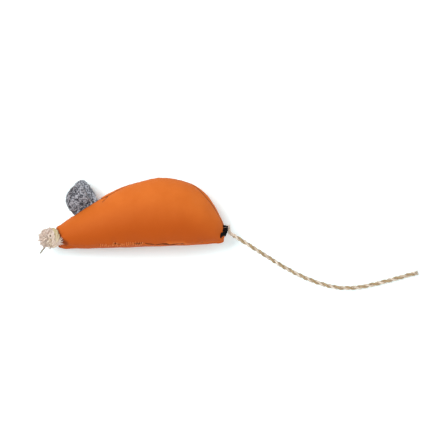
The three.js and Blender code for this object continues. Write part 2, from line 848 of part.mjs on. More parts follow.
// Cloth, threads and filling, all cut from the same forms
const outerForm = bodySolid(0);
const clothForm = outerForm.subtract(bodySolid(clothThickness));
const midCloth = bodySolid(clothThickness / 2);
const backFlange = ridgeBand(allowance, -midSeam - clothThickness, midSeam + clothThickness);
const earFlangeOuter = tabOuter + seamGap + clothThickness;
const earStretch = solidOf(boxBetween(
  new THREE.Vector3(earStart, 0, -earFlangeOuter - overrun),
  new THREE.Vector3(rightRoot.middle.x + rightRoot.ends / 2, bodyHeight, earFlangeOuter + overrun),
));
const earLayer = tabOuter + seamGap;
const earFlange = ridgeBand(allowance, -earFlangeOuter, earFlangeOuter)
  .subtract(ridgeBand(allowance + overrun, -earLayer, earLayer))
  .intersect(earStretch);
const tabRoom = earTab(leftRoot, 1, seamGap).add(earTab(rightRoot, -1, seamGap));

const backThread = backThreadRoute();
const seamFrom = frontCorner.x + 2 * allowance;
const seamTo = rumpCorner.x - 2 * allowance;
const baseThreads = {
  left_base_thread_front: baseThreadRoute(seamFrom, closingStart - overrun / 2, 1),
  left_base_thread_rear: baseThreadRoute(closingStart + closingLength + overrun / 2, seamTo, 1),
  right_base_thread: baseThreadRoute(seamFrom, seamTo, -1),
};
const closing = closingRoute();
const tack = tackRoute();

const threadTube = (route, gap) => solidOf(tube(route.curve, threadRadius + gap, threadSides, route.steps));
const closingTube = (gap) => solidOf(tube(closing.curve, closingRadius + gap, threadSides, closing.steps));
const tackTube = (gap) => solidOf(tube(tack.curve, tackRadius + gap, loopSides, tack.steps));

const threadRooms = [
  threadTube(backThread, holeGap),
  ...Object.values(baseThreads).map((route) => threadTube(route, holeGap)),
  closingTube(holeGap),
  tackTube(holeGap),
];

const nose = noseKnot();
const noseSpace = noseStem(seamGap);

function flankPanel(side) {
  const fins = baseWedge(slantGap + slantCloth, finRise + slantCloth).intersect(midCloth);
  const layers = joined([clothForm, backFlange.add(earFlange).intersect(midCloth), fins]);
  const baseSpace = baseWedge(slantGap, finRise + slantCloth + overrun);
  return cut(layers.intersect(sideSpace(side)), [baseSpace, tabRoom, noseSpace, ...threadRooms]);
}

function basePanel() {
  const inside = baseWedge(-slantGap, finRise);
  const hollow = baseWedge(-slantGap - slantCloth, finRise + overrun);
  const fins = inside.subtract(hollow).intersect(midCloth);
  return cut(clothForm.intersect(inside).add(fins), [noseSpace, ...threadRooms]);
}

function filling() {
  const form = bodySolid(clothThickness + seamGap);
  const grooveHalf = earSwing + threadRadius + seamGap;
  const groove = ridgeBand(allowance + seamGap, -grooveHalf, grooveHalf);
  const room = slantCloth + slantGap + 2 * (seamGap + threadRadius) + slantGap;
  const finCore = baseWedge(-slantGap - room, finRise + room + overrun);
  const finGroove = baseWedge(slantGap + room, finRise + room).subtract(finCore);
  const mouth = solidOf(boxBetween(
    new THREE.Vector3(herbCentre[0] - fillingMouth[0], 0, 0),
    new THREE.Vector3(herbCentre[0], fillingMouth[1], fillingMouth[2]),
  ));
  return cut(form, [groove, finGroove, herbShape(seamGap), mouth, noseSpace, ...threadRooms]);
}

// Colours and surfaces
const look = (color, roughness) => new THREE.MeshStandardMaterial({ color, roughness, metalness: 0 });
const orangeCloth = () => look(0xd06725, 0.6);
const greyFelt = () => look(0x8b8d93, 0.95);
const creamRope = () => look(0xd9c3b4, 0.9);
const naturalTwine = () => look(0xbeaa96, 0.9);
const blackThread = () => look(0x141414, 0.45);
const orangeThread = () => look(0xe0864a, 0.6);
const whiteFilling = () => look(0xf2f0ea, 0.95);
const driedHerb = () => look(0x7d7f4a, 0.95);

// Assembly
const mouse = new THREE.Group();

function place(name, solid, material) {
  const mesh = new THREE.Mesh(geometryOf(solid), material);
  mesh.name = name;
  mouse.add(mesh);
}

place('left_flank', flankPanel(1), orangeCloth());
place('right_flank', flankPanel(-1), orangeCloth());
place('base_panel', basePanel(), orangeCloth());
place('stuffing', filling(), whiteFilling());
place('catnip_herb', herbShape(0), driedHerb());
place('left_ear', earBlade(leftRoot, 1, leftEarRise), greyFelt());
place('right_ear', earBlade(rightRoot, -1, rightEarRise), greyFelt());
place('left_ear_tab', cut(earTab(leftRoot, 1, 0), [threadRooms[0]]), greyFelt());
place('right_ear_tab', cut(earTab(rightRoot, -1, 0), [threadRooms[0]]), greyFelt());
place('nose_knot', nose.solid, creamRope());
place('tail_stub', tailStub(), naturalTwine());
place('tail_cord', tailCord(), naturalTwine());
place('tail_tack', tackTube(0), blackThread());
place('back_thread', threadTube(backThread, 0), orangeThread());
for (const [name, route] of Object.entries(baseThreads)) place(name, threadTube(route, 0), orangeThread());
place('closing_thread', closingTube(0), orangeThread());

// The middle of the flattened patch is the origin
const restX = bodyLength * restShares[0];
const restY = seamLine + backRise * restShares[1];
mouse.position.set(-restX, -restY, restHeight);

const tackGap = leastGap(tack, loopSteps, tackThreadDiameter);
const closingGap = leastGap(closing, closingSteps, closingThreadDiameter);
console.log(`least gap in the tail's winding ${tackGap.toFixed(2)} mm`);
console.log(`least gap in the closing stitches ${closingGap.toFixed(2)} mm`);
console.log(`nose strands ${nose.strands}`);

export default mouse;
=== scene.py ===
import math

import bpy
import numpy as np
from bpy.props import FloatProperty, FloatVectorProperty, IntProperty, PointerProperty
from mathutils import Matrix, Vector


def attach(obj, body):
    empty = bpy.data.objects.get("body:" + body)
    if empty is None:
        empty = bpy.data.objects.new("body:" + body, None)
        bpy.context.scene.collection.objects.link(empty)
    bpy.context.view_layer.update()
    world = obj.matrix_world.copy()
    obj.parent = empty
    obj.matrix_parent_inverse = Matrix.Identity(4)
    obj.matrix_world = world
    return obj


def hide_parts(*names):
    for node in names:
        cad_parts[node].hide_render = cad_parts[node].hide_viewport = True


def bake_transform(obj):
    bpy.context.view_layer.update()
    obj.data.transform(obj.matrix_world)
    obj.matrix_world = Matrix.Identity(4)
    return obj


bl_info = {
    "name": "Catnip mouse",
    "version": (1, 0, 0),
    "blender": (4, 5, 0),
    "location": "3D View > Sidebar > Mouse",
    "description": "Dresses a sewn and stuffed cloth mouse: cloth, felt, rope, twine and threads",
    "category": "Object",
}

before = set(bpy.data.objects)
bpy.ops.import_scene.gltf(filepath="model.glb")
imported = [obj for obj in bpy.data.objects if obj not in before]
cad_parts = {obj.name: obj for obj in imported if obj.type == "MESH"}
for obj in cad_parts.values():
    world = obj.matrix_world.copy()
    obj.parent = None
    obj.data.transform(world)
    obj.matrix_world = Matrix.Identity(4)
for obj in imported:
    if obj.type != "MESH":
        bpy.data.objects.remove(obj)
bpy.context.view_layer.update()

# Lengths are in millimetres in the sewing pattern's own axes, and MM turns them into metres
MM = 0.001
UP = (0, 0, 1)

# Body: sizes and outline of the sewing pattern, nose at x 0, base seam just above y 0
BODY_LENGTH = 107.6
BODY_HEIGHT = 43.0
BODY_THICKNESS = 34.0
BASE_WIDTH = 18.0
BASE_BULGE = 1.7
SEAM_LINE = 0.7
CLOTH_THICKNESS = 0.5
FLATTENING = 1.8
REST_SHARES = (0.6223, 0.436)
BACK_RISE = BODY_HEIGHT - BASE_BULGE
HALF_THICKNESS = BODY_THICKNESS / 2
HALF_BASE = BASE_WIDTH / 2
REST_HEIGHT = HALF_THICKNESS - FLATTENING
RIDGE_SHARES = (
    (0.005, 0), (0, 0.094), (0.001, 0.23), (0.013, 0.303), (0.097, 0.462), (0.246, 0.69),
    (0.391, 0.873), (0.535, 0.97), (0.627, 1), (0.733, 0.959), (0.82, 0.869), (0.889, 0.709),
    (0.939, 0.516), (0.979, 0.31), (0.992, 0.182), (0.994, 0.099), (0.983, 0),
)
FAN_SHARE = 0.5
SWELL_POWER = 0.8
BELLY_SHARE = 0.57
BACK_ROUND_POWER = 1.75
BASE_TURN_POWER = 2.2
BASE_TAPER_POWER = 0.8
BULGE_TAPER_POWER = 0.25
PRESS_SOFTNESS = 0.12

# Pinch under the tail's thread: centre and area of a bell, and its depth as a share
PINCH = ((106.2, 7.2), 16)
PINCH_SHARE = 0.32

# Ears: felt sewn into the back seam
EAR_WIDTH = 15.8
EAR_WIDTHS = {"left": 14.2, "right": 13.8}
EAR_HEIGHT = 17.4
FELT_THICKNESS = 2.0
FELT_AT_ROOT = 1.2
EAR_CUP = 2.2
EAR_SKEWS = {"left": 4.8, "right": 2.4}
EAR_SHIFTS = {"left": 0.1, "right": 0.9}
EAR_SHORTENINGS = {"left": 1.0, "right": 0.3}
# Strength of the painted highlight on each ear's cut edge
EAR_EDGE_HIGHLIGHTS = {"left": 1.0, "right": 0.3}
EAR_RISES = {"left": 8.0, "right": 4.6}
EAR_TIP_POWERS = {"left": 5, "right": 3.2}
EAR_LEAN_POWER = 3.5
EAR_ROUND_POWER = 0.5
EAR_CUP_POWER = 0.8
EAR_START = 10.2
EAR_STAGGER = 3.3
FELT_HEIGHT = 0.75
# Width in millimetres over which the cut edge's painted highlight fades
FELT_HIGHLIGHT_WIDTH = 0.4
FELT_START = -0.17
FELT_ROWS = 110
FELT_SIDES = 132
FOLD_ZONE = (-0.4, 2.4)

# Cloth: columns along the body, rows across a flank and the base, and the row a seam turns towards
BODY_COLUMNS = 300
FLANK_ROWS = 118
BASE_ROWS = 49
INWARD_ROW = 40

# Stretches where something happens, each from, to and how softly it ends, along x
SEAM_OPEN = (68, 83, 9)
SEAM_STITCHED = (27, 55, 3)
FOLDS_AT_STITCHES = (26, 56, 4)
FOLDS_AT_OPENING = (64, 90, 4)
# DARK_GAP: where the base seam stands open, its painted shade is widest
DARK_GAP = (71, 80, 8)
ROLLED_DOWN = (64, 86, 12)
AT_EARS = (EAR_START + 1.5, EAR_START + 17.5, 2.5)

# The same in shares of the back outline, where the back seam has rolled up
ROLLED_BEHIND_EARS = (0.30, 0.35, 0.06)
ROLLED_AT_RUMP = (0.69, 0.86, 0.10)

# Centre and area of bells on the cloth, and the ends of its short lines
GATHER = ((0.8, 7.4), 14)
GATHER_RAYS_FROM = (-1.5, 7.4)
COLLAR = ((0.6, 12.0), 7)
COLLAR_WAY = np.array((-0.85, 0.5, 0))
EAR_CREASE = ((29.6, 27.9), (33.0, 31.3))
# NOSE_SHADES: lines round the knot along which a painted shadow darkens the cloth
NOSE_SHADES = (((0.8, 10.5), (1.4, 6.0)), ((1.4, 6.0), (5.6, 2.8)))

# Cloth's painted shade along the body: how far its zone drops at the head and the rump, and from
# where it eases beside the seams, which is painted light; and the shift of a strand's streaks from
# one mark to the next
HEAD_X = 0.05 * BODY_LENGTH
MIDDLE_X = 0.45 * BODY_LENGTH
RUMP_X = 0.75 * BODY_LENGTH
SHADE_DROP_AT_HEAD = 8.0
SHADE_DROP_AT_RUMP = 13.0
SHADE_EASED_FROM = 20.0
SHADE_EASED_TO = 40.0
STREAK_SHIFT = (31.0, 17.0, 57.0)

# Nose, tail and the thread that sews the tail on
NOSE_CENTRE = (-6.4, 6.2, 0.0)
NOSE_HALF_SIZES = (5.8, 6.2, 5.8)
NOSE_ROOT = (-4.2, 7.5, 0.8)
NOSE_POLE = (0.385, 0.234, 0.893)
WRAP_STEPS = 90
TWINE_DIAMETER = 2.2
TWINE_FLUFF = 0.2
TAIL_ROUTE = (
    (112.6, 3.9, 15.2), (120.3, -1.3, 13.4), (131.8, -9.2, 9.6), (143.2, -16.9, 5.6),
    (154.7, -23.5, 2.5), (166.3, -28.7, 1.3), (177.9, -32, 1.2), (189.6, -32.7, 1.2),
    (201.3, -31.1, 1.2), (213.1, -28.5, 1.2), (224.8, -25.7, 1.2), (229.6, -24.6, 1.6),
)
TAIL_STEPS = 420
STUB_ROUTE = ((109.3, 9.7), (109.4, 8.9), (109.5, 8.0), (109.7, 6.9), (110.5, 5.4))
TACK_INNER = ((103.6, 3.9), (103.8, 5.7), (104.5, 7.9), (105.7, 10.9))
TACK_OUTER = ((107.3, 4.5), (108.2, 5.9), (108.8, 7.6), (109.2, 10.0))
TACK_HEIGHTS = (4.6, 2.3)
CLOSING_START = 27.5
CLOSING_LENGTH = 27.5
CLOSING_STITCHES = 22

# Photograph: its width on the middle plane, the roll of the camera and the place at its centre
PHOTO_WIDTH = 277.12
PHOTO_ROLL = 1.909
PHOTO_CENTRE = (35.0, -2.3)
CAMERA_DISTANCE = 1100.0
SENSOR_WIDTH = 36.0

# Stage, in metres: place and size of each light, and the floor's size and sides
LIGHTS = {"key": ((-0.47, 0.33, 0.9), (0.6, 0.5)), "front": ((0.5, -0.75, 0.25), (1.2, 0.4))}
FLOOR_RADIUS = 6.0
FLOOR_SIDES = 96


def to_part(points):
    """Moves pattern points, whose height counts from the middle plane, into the part's frame."""
    shift = (-BODY_LENGTH * REST_SHARES[0], -SEAM_LINE - BACK_RISE * REST_SHARES[1], REST_HEIGHT)
    return np.asarray(points, float) + shift


# Curves, noise and frames along curves

def spline(points, at):
    """Catmull-Rom curve through points, its end points repeated; at runs from 0 to 1."""
    points = np.asarray(points, float)
    place = np.clip(np.asarray(at, float), 0, 1) * (len(points) - 1)
    low = np.minimum(place.astype(int), len(points) - 2)
    t = (place - low)[..., None]
    before, here = points[np.maximum(low - 1, 0)], points[low]
    there, after = points[low + 1], points[np.minimum(low + 2, len(points) - 1)]
    leave, arrive = (there - before) / 2, (after - here) / 2
    cubic = 2 * here - 2 * there + leave + arrive
    square = 3 * there - 3 * here - 2 * leave - arrive
    return cubic * t**3 + square * t**2 + leave * t + here


def even_line(points, steps):
    """Points at even distances along the spline through points."""
    fine = spline(points, np.linspace(0, 1, 40 * len(points)))
    length = way_across(fine[None])[0]
    places = np.linspace(0, length[-1], steps + 1)
    return np.stack([np.interp(places, length, fine[:, axis]) for axis in range(3)], -1)


def way_across(points):
    """Distance of each point from the first column, added up along its row."""
    steps = np.linalg.norm(np.diff(points, axis=1), axis=-1)
    return np.concatenate([np.zeros((len(points), 1)), np.cumsum(steps, axis=1)], axis=1)


def unit(vectors):
    """Vectors over their own length."""
    return vectors / np.maximum(np.linalg.norm(vectors, axis=-1, keepdims=True), 1e-9)


def together(*arrays):
    """Arrays brought to one shape and stacked along a last axis."""
    return np.stack(np.broadcast_arrays(*arrays), -1)


def signed_power(values, power):
    """Power of each value's size, with the value's sign."""
    return np.sign(values) * np.abs(values) ** power


def wavy(points, size, seed, waves=28):
    """Uneven smooth value of about one: a sum of plane waves in random ways, about size long."""
    rng = np.random.default_rng(seed)
    points = np.asarray(points, float)
    ways = unit(rng.normal(size=(waves, points.shape[-1])))
    lengths = size * rng.uniform(0.7, 1.7, waves)
    phases = rng.uniform(0, 2 * np.pi, waves)
    angles = points @ (2 * np.pi * ways / lengths[:, None]).T + phases
    return np.sin(angles).sum(-1) / math.sqrt(waves / 2)


def bump(values, low, high, soft):
    """1 between low and high, falling smoothly to 0 over soft on both sides."""
    rise = np.clip((values - low) / soft + 1, 0, 1)
    fall = np.clip((high - values) / soft + 1, 0, 1)
    return rise**2 * (3 - 2 * rise) * fall**2 * (3 - 2 * fall)


def fading(distance, reach):
    """1 at a distance of 0, falling by an exponential of the distance over reach."""
    return np.exp(-distance / reach)


def bell(x, y, centre, area):
    """1 at a centre, falling by an exponential of the squared distance over area."""
    return np.exp(-((x - centre[0]) ** 2 + (y - centre[1]) ** 2) / area)


def axes_along(lines, up):
    """Two directions square to lines of shape (..., steps, 3), the first also square to up."""
    tangent = unit(np.gradient(lines, axis=-2))
    first = unit(np.cross(np.broadcast_to(up, lines.shape), tangent))
    return first, np.cross(tangent, first)


def twisted(line, up, offset, plies, turns, phase=0.0):
    """Centre lines of plies wound round a line: a circle of radius offset turned along it."""
    first, second = axes_along(line, up)
    along = np.linspace(0, 1, len(line))
    angle = 2 * np.pi * (turns * along[None, :] + np.arange(plies)[:, None] / plies) + phase
    return line + offset * (np.cos(angle)[..., None] * first + np.sin(angle)[..., None] * second)


class Form:
    """Points, faces and texture places that become one mesh."""

    def __init__(self):
        self.points, self.places, self.loops, self.totals, self.count = [], [], [], [], 0
        self.marks = []

    def _faces(self, corners, places):
        self.loops.append(corners.reshape(-1) + self.count)
        self.places.append(places.reshape(-1, 2))
        self.totals.append(np.full(corners.size // corners.shape[-1], corners.shape[-1]))

    def add_grid(self, points, places=None, wrap=False, marks=None):
        """A skin over points of shape (rows, columns, 3); wrap joins the last column to the first."""
        rows, columns = points.shape[:2]
        if places is None:
            u, v = np.meshgrid(np.arange(rows), np.arange(columns + 1), indexing="ij")
            places = np.stack([u / rows, v / columns], -1)
        i = np.arange(rows - 1)[:, None]
        j = np.arange(columns if wrap else columns - 1)[None, :]
        k = (j + 1) % columns
        here, there = i * columns, (i + 1) * columns
        corners = np.stack([here + j, there + j, there + k, here + k], -1)
        spots = places[i, j], places[i + 1, j], places[i + 1, j + 1], places[i, j + 1]
        self._faces(corners, np.stack(spots, -2))
        self._points(points.reshape(-1, 3), marks)

    def _points(self, points, marks):
        marks = 0.0 if marks is None else marks
        self.points.append(points)
        self.marks.append(np.broadcast_to(marks, len(points)))
        self.count += len(points)

    def add_tubes(self, lines, radii, sides, up=(0.31, 0.43, 0.85), ridges=None, marks=None):
        """Round tubes with closed ends along lines of shape (tubes, steps, 3).

        Radii and marks broadcast to tubes and steps; ridges give a factor on the radius for a share
        of the way along and an angle round the tube. Texture places are metres along and turns round.
        """
        lines = lines if lines.ndim == 3 else lines[None]
        tubes, steps = lines.shape[:2]
        first, second = axes_along(lines, up)
        angle = 2 * np.pi * np.arange(sides) / sides
        radii = np.broadcast_to(radii, (tubes, steps))[..., None]
        if ridges is not None:
            radii = radii * ridges(np.linspace(0, 1, steps)[None, :, None], angle)
        radii = np.broadcast_to(radii, (tubes, steps, sides))[..., None]
        out = np.cos(angle)[:, None] * first[..., None, :]
        out = out + np.sin(angle)[:, None] * second[..., None, :]
        points = lines[..., None, :] + radii * out
        length = np.cumsum(np.linalg.norm(np.gradient(lines, axis=1), axis=-1), axis=1) * MM
        n, i, j = np.ogrid[:tubes, : steps - 1, :sides]
        k = (j + 1) % sides
        at = (n * steps + i) * sides
        corners = np.stack(np.broadcast_arrays(at + j, at + k, at + sides + k, at + sides + j), -1)
        lengths, nexts, turn, turned = (np.broadcast_to(values, corners.shape[:-1]) for values in (
            length[:, :-1, None], length[:, 1:, None], j / sides, (j + 1) / sides))
        places = [(lengths, turn), (lengths, turned), (nexts, turned), (nexts, turn)]
        self._faces(corners, np.stack([np.stack(pair, -1) for pair in places], -2))
        ends = np.arange(tubes)[:, None] * steps * sides
        start = ends + np.arange(sides)[None, ::-1]
        stop = ends + (steps - 1) * sides + np.arange(sides)[None]
        for lid in (start, stop):
            self._faces(lid, np.zeros((*lid.shape, 2)))
        if marks is not None:
            marks = np.broadcast_to(np.reshape(marks, (tubes, -1)), (tubes, steps))
            marks = np.repeat(marks.ravel(), sides)
        self._points(points.reshape(-1, 3), marks)

    def add_rope(self, line, up, strands, offset, turns, radius, sides, marks):
        """Round strands wound round a line, each with a mark."""
        wound = twisted(line, up, offset, strands, turns)
        self.add_tubes(wound, radius, sides, up, marks=marks)

    def piece(self, name, material, body, replaced=(), slot=None, mark="mark"):
        """The mesh as an object of that name, in metres in the part's frame, riding on a body named by a
        string, and fixed in place otherwise.
        """
        mesh = bpy.data.meshes.new(name)
        points = to_part(np.concatenate(self.points)) * MM
        loops, totals = np.concatenate(self.loops), np.concatenate(self.totals)
        mesh.vertices.add(len(points))
        mesh.vertices.foreach_set("co", points.ravel())
        mesh.loops.add(len(loops))
        mesh.loops.foreach_set("vertex_index", loops.astype(np.int32))
        mesh.polygons.add(len(totals))
        starts = np.concatenate([[0], np.cumsum(totals)[:-1]])
        mesh.polygons.foreach_set("loop_start", starts.astype(np.int32))
        mesh.polygons.foreach_set("loop_total", totals.astype(np.int32))
        mesh.polygons.foreach_set("use_smooth", np.ones(len(totals), bool))
        mesh.update(calc_edges=True)
        mesh.uv_layers.new(name="Lay").data.foreach_set("uv", np.concatenate(self.places).ravel())
        values = mesh.attributes.new(mark, "FLOAT", "POINT")
        values.data.foreach_set("value", np.concatenate(self.marks))
        mesh.materials.append(material)
        piece = bpy.data.objects.new(name, mesh)
        bpy.context.scene.collection.objects.link(piece)
        if isinstance(body, str):
            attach(piece, body)
        else:
            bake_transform(piece)
        if replaced:
            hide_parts(*replaced)
        return piece


# Form of the body

def outline(at):
    """Back outline from the front corner of the base to the rump corner, at from 0 to 1.

    It is a spline through shares of the body's length and height.
    """
    return spline(RIDGE_SHARES, at) * (BODY_LENGTH, BACK_RISE) + (0, SEAM_LINE)


FINE = np.linspace(0, 1, 2001)
FINE_RIDGE = outline(FINE)
FINE_FEET = np.concatenate([[0], np.cumsum(np.abs(np.diff(FINE_RIDGE, axis=0)) @ (1, FAN_SHARE))])
FINE_FEET /= FINE_FEET[-1]


def sections(at):
    """Ridge and foot points, swell and half width of the base at outline shares at.

    The feet lie on the straight base line, spread like the ridge points by their way along it. The
    swell is a power of a section's length, and the base's half width a power of a parabola.
    """
    ridge = outline(at)
    share = np.interp(at, FINE, FINE_FEET)
    foot = FINE_RIDGE[0] + share[..., None] * (FINE_RIDGE[-1] - FINE_RIDGE[0])
    fine_foot = FINE_RIDGE[0] + FINE_FEET[:, None] * (FINE_RIDGE[-1] - FINE_RIDGE[0])
    longest = np.linalg.norm(FINE_RIDGE - fine_foot, axis=1).max()
    swell = HALF_THICKNESS * (np.linalg.norm(ridge - foot, axis=-1) / longest) ** SWELL_POWER
    base = HALF_BASE * np.maximum(4 * share * (1 - share), 0) ** BASE_TAPER_POWER
    return ridge, foot, swell, np.minimum(base, swell)


def turn_of_height(height, swell):
    """Turn round a section at which its surface has this height: skin's superellipse, inverted."""
    share = np.minimum(np.abs(height) / np.maximum(swell, 1e-6), 1) ** (BACK_ROUND_POWER / 2)
    return np.sign(height) * np.arcsin(share) * 2 / np.pi


def tail_pinch(x, y):
    """Share of its height that the cloth keeps under the tail's thread: 1 less a bell."""
    return 1 - PINCH_SHARE * bell(x, y, *PINCH)


def skin(at, turn):
    """Point of the body: turn 0 is the back, 1 the widest part and 2 the base seam.

    The upper part is a superellipse from the back to the belly, and the lower part falls by a power
    of the way to the half width of the base. Turns below 0 are the right flank, which is pressed
    flat at the surface by a soft minimum.
    """
    ridge, foot, swell, base = (value[:, None] for value in sections(at))
    turn = np.broadcast_to(turn, (len(at), np.shape(turn)[-1]))
    side, away = np.sign(turn + 1e-12), np.abs(turn)
    angle = np.minimum(away, 1) * np.pi / 2
    past = np.maximum(away - 1, 0)
    share = BELLY_SHARE * (1 - np.cos(angle) ** (2 / BACK_ROUND_POWER)) + (1 - BELLY_SHARE) * past
    height = swell * np.sin(angle) ** (2 / BACK_ROUND_POWER) - (swell - base) * past**BASE_TURN_POWER
    place = ridge + share[..., None] * (foot - ridge)
    height = height * tail_pinch(place[..., 0], place[..., 1])
    over = np.exp((REST_HEIGHT - height) / PRESS_SOFTNESS)
    pressed = REST_HEIGHT - PRESS_SOFTNESS * np.log1p(over)
    height = np.where(side < 0, pressed, height)
    return np.concatenate([place, (side * height)[..., None]], -1)


def base_skin(at, across):
    """Point of the base panel, which sags by a parabola from its left seam, 1, to its right, -1."""
    _, foot, _, base = (value[:, None] for value in sections(at))
    across = np.broadcast_to(across, (len(at), np.shape(across)[-1]))
    sag = BASE_BULGE * (base / HALF_BASE) ** BULGE_TAPER_POWER * (1 - across**2)
    x = np.broadcast_to(foot[..., 0], across.shape)
    return np.stack([x, foot[..., 1] - sag, across * base], -1)


def grid_normals(points):
    """Unit normals of a grid of points, from its differences along rows and columns."""
    return unit(np.cross(np.gradient(points, axis=0), np.gradient(points, axis=1)))


def from_line(x, y, a, b):
    """Distance of places x, y from the nearest point of the straight line from a to b."""
    a, way = np.array(a), np.subtract(b, a)
    along = np.clip(((x - a[0]) * way[0] + (y - a[1]) * way[1]) / (way @ way), 0, 1)
    return np.hypot(x - a[0] - along * way[0], y - a[1] - along * way[1])


def ends_close(count):
    """Shares from 0 to 1 that lie closer together at both ends: even ones less a sine."""
    k = np.linspace(0, 1, count)
    return k - 0.8 * np.sin(2 * np.pi * k) / (2 * np.pi)


def ridge_point(x):
    """Point of the back outline at x, between the nose and the top of the back."""
    ridge = FINE_RIDGE[: len(FINE) // 2]
    return np.array([x, np.interp(x, np.maximum.accumulate(ridge[:, 0]), ridge[:, 1])])


def ear_root(start):
    """Root line of an ear: a chord of the back outline from x start, raised to clear the outline."""
    a = ridge_point(start)
    slope = unit(ridge_point(start + EAR_WIDTH / 2) - a)
    b = ridge_point(a[0] + EAR_WIDTH * slope[0])
    along = unit(b - a)
    out = np.array([-along[1], along[0]])
    ridge = FINE_RIDGE[: len(FINE) // 2]
    inside = (ridge[:, 0] > a[0]) & (ridge[:, 0] < b[0])
    rise = max(((ridge[inside] - a) @ out).max(), 0)
    return {"along": along, "out": out, "middle": (a + b) / 2 + rise * out}


# Fibres

def along_fibres(steps, start=0):
    """Shares along fibres, shaped to work with arrays of fibres: (1, steps, 1)."""
    return np.linspace(start, 1, steps)[None, :, None]


def drawn(rng, low, high, count):
    """One even random value for each fibre, shaped (count, 1, 1)."""
    return rng.uniform(low, high, (count, 1, 1))


def thinning(radius, start, t):
    """Radius along fibres: it falls evenly from radius times start."""
    return radius * (start - t[..., 0])


def ways_out(line, at, rng, count):
    """The way of a line at some of its points, and random ways square to it."""
    first, second = axes_along(line, UP)
    angle = rng.uniform(0, 2 * np.pi, count)[:, None]
    out = np.cos(angle) * first[at] + np.sin(angle) * second[at]
    return unit(np.gradient(line, axis=0))[at], out


def loose_fibres(line, count, seed):
    """Short fibres that leave a twine at a slant: a straight start that curves away from it."""
    rng = np.random.default_rng(seed)
    at = rng.integers(2, len(line) - 2, count)
    tangent, out = ways_out(line, at, rng, count)
    out[:, 2] = np.abs(out[:, 2])
    length = drawn(rng, 0.8, 2.6, count)
    t = along_fibres(5)
    lean = drawn(rng, 0.15, 0.55, count)
    lines = line[at][:, None] + 0.8 * TWINE_DIAMETER / 2 * out[:, None]
    lines = lines + length * t * (tangent[:, None] + lean * t * out[:, None])
    return lines, thinning(0.055, 1.2, t)


def frayed_end(line, count, reach, seed):
    """Fibres that spread from the last point of a twine, each a parabola outwards."""
    rng = np.random.default_rng(seed)
    tangent, out = ways_out(line, -1, rng, count)
    t = along_fibres(6)
    spread = drawn(rng, 0, 1, count) ** 0.6
    length = reach * drawn(rng, 0.5, 1, count)
    lines = line[-1] - 0.8 * tangent + 0.8 * TWINE_DIAMETER / 2 * spread * out[:, None]
    lines = lines + length * t * tangent + 0.45 * length * spread * t**2 * out[:, None]
    lines[..., 2] = np.maximum(lines[..., 2], 0.1 - REST_HEIGHT)
    return lines, thinning(0.09, 1.25, t)


# Materials

def linear(colour):
    """Linear red, green, blue and 1 of an sRGB hex colour."""
    parts = [int(colour[i:i + 2], 16) / 255 for i in (1, 3, 5)]
    return (*(p / 12.92 if p <= 0.04045 else ((p + 0.055) / 1.055) ** 2.4 for p in parts), 1.0)


def amount(name, description, default, low, high):
    """Number setting with its range."""
    return FloatProperty(name=name, description=description, default=default, min=low, max=high)


def colour_property(name, description, colour):
    """Colour setting with a hex default."""
    return FloatVectorProperty(
        name=name, description=description, subtype="COLOR", size=4, min=0, max=1,
        default=linear(colour))


def add_node(material, kind, inputs, **settings):
    """Adds a node with its settings; inputs are values to set or sockets to link."""
    node = material.node_tree.nodes.new(kind)
    for name, value in settings.items():
        setattr(node, name, value)
    for name, value in inputs.items():
        if isinstance(value, bpy.types.NodeSocket):
            material.node_tree.links.new(value, node.inputs[name])
        else:
            node.inputs[name].default_value = value
    return node


def new_material(name):
    """Empty node material."""
    material = bpy.data.materials.new(name)
    material.use_nodes = True
    material.node_tree.nodes.clear()
    return material


def finish_material(material, shader):
    """Links a shader to the material's output."""
    add_node(material, "ShaderNodeOutputMaterial", {"Surface": shader.outputs[0]})
    return material


def surface(material, colour, relief, roughness, specular, sheen=0.0, fuzz=0.5, **others):
    """Principled shader of a colour and a relief; fuzz is how wide its sheen spreads."""
    values = {
        "Base Color": colour, "Normal": relief.outputs[0], "Roughness": roughness,
        "Specular IOR Level": specular, "Sheen Weight": sheen, "Sheen Roughness": fuzz}
    return add_node(material, "ShaderNodeBsdfPrincipled", {**values, **others})


def object_noise(material, size, detail, roughness=0.5, distortion=0.0):
    """Noise on the object's own coordinates, in patches size millimetres wide."""
    place = add_node(material, "ShaderNodeTexCoord", {})
    return add_node(material, "ShaderNodeTexNoise", {
        "Vector": place.outputs["Object"], "Scale": 1 / (size * MM), "Detail": detail,
        "Roughness": roughness, "Distortion": distortion}).outputs["Fac"]


def ranged(material, value, low, high, start=0.0, end=1.0, kind="LINEAR"):
    """Carries a value from the range low to high into the range start to end."""
    return add_node(material, "ShaderNodeMapRange", {
        "Value": value, "From Min": low, "From Max": high, "To Min": start, "To Max": end},
        interpolation_type=kind).outputs[0]


def mixed(material, share, first, second, **settings):
    """Colour that goes from the first to the second as share goes from 0 to 1."""
    return add_node(material, "ShaderNodeMix", {
        0: share, 6: first, 7: second}, data_type="RGBA", **settings).outputs[2]


def worked_out(material, operation, *values):
    """Result of a sum or another operation on values."""
    return add_node(
        material, "ShaderNodeMath", dict(enumerate(values)), operation=operation).outputs[0]


def bumped(material, height, strength, depth):
    """Relief of a surface whose height varies by depth millimetres."""
    return add_node(material, "ShaderNodeBump", {
        "Height": height, "Strength": strength, "Distance": depth * MM})


def attribute(material, name):
    """Value that the mesh carries under a name."""
    return add_node(material, "ShaderNodeAttribute", {}, attribute_name=name).outputs["Fac"]


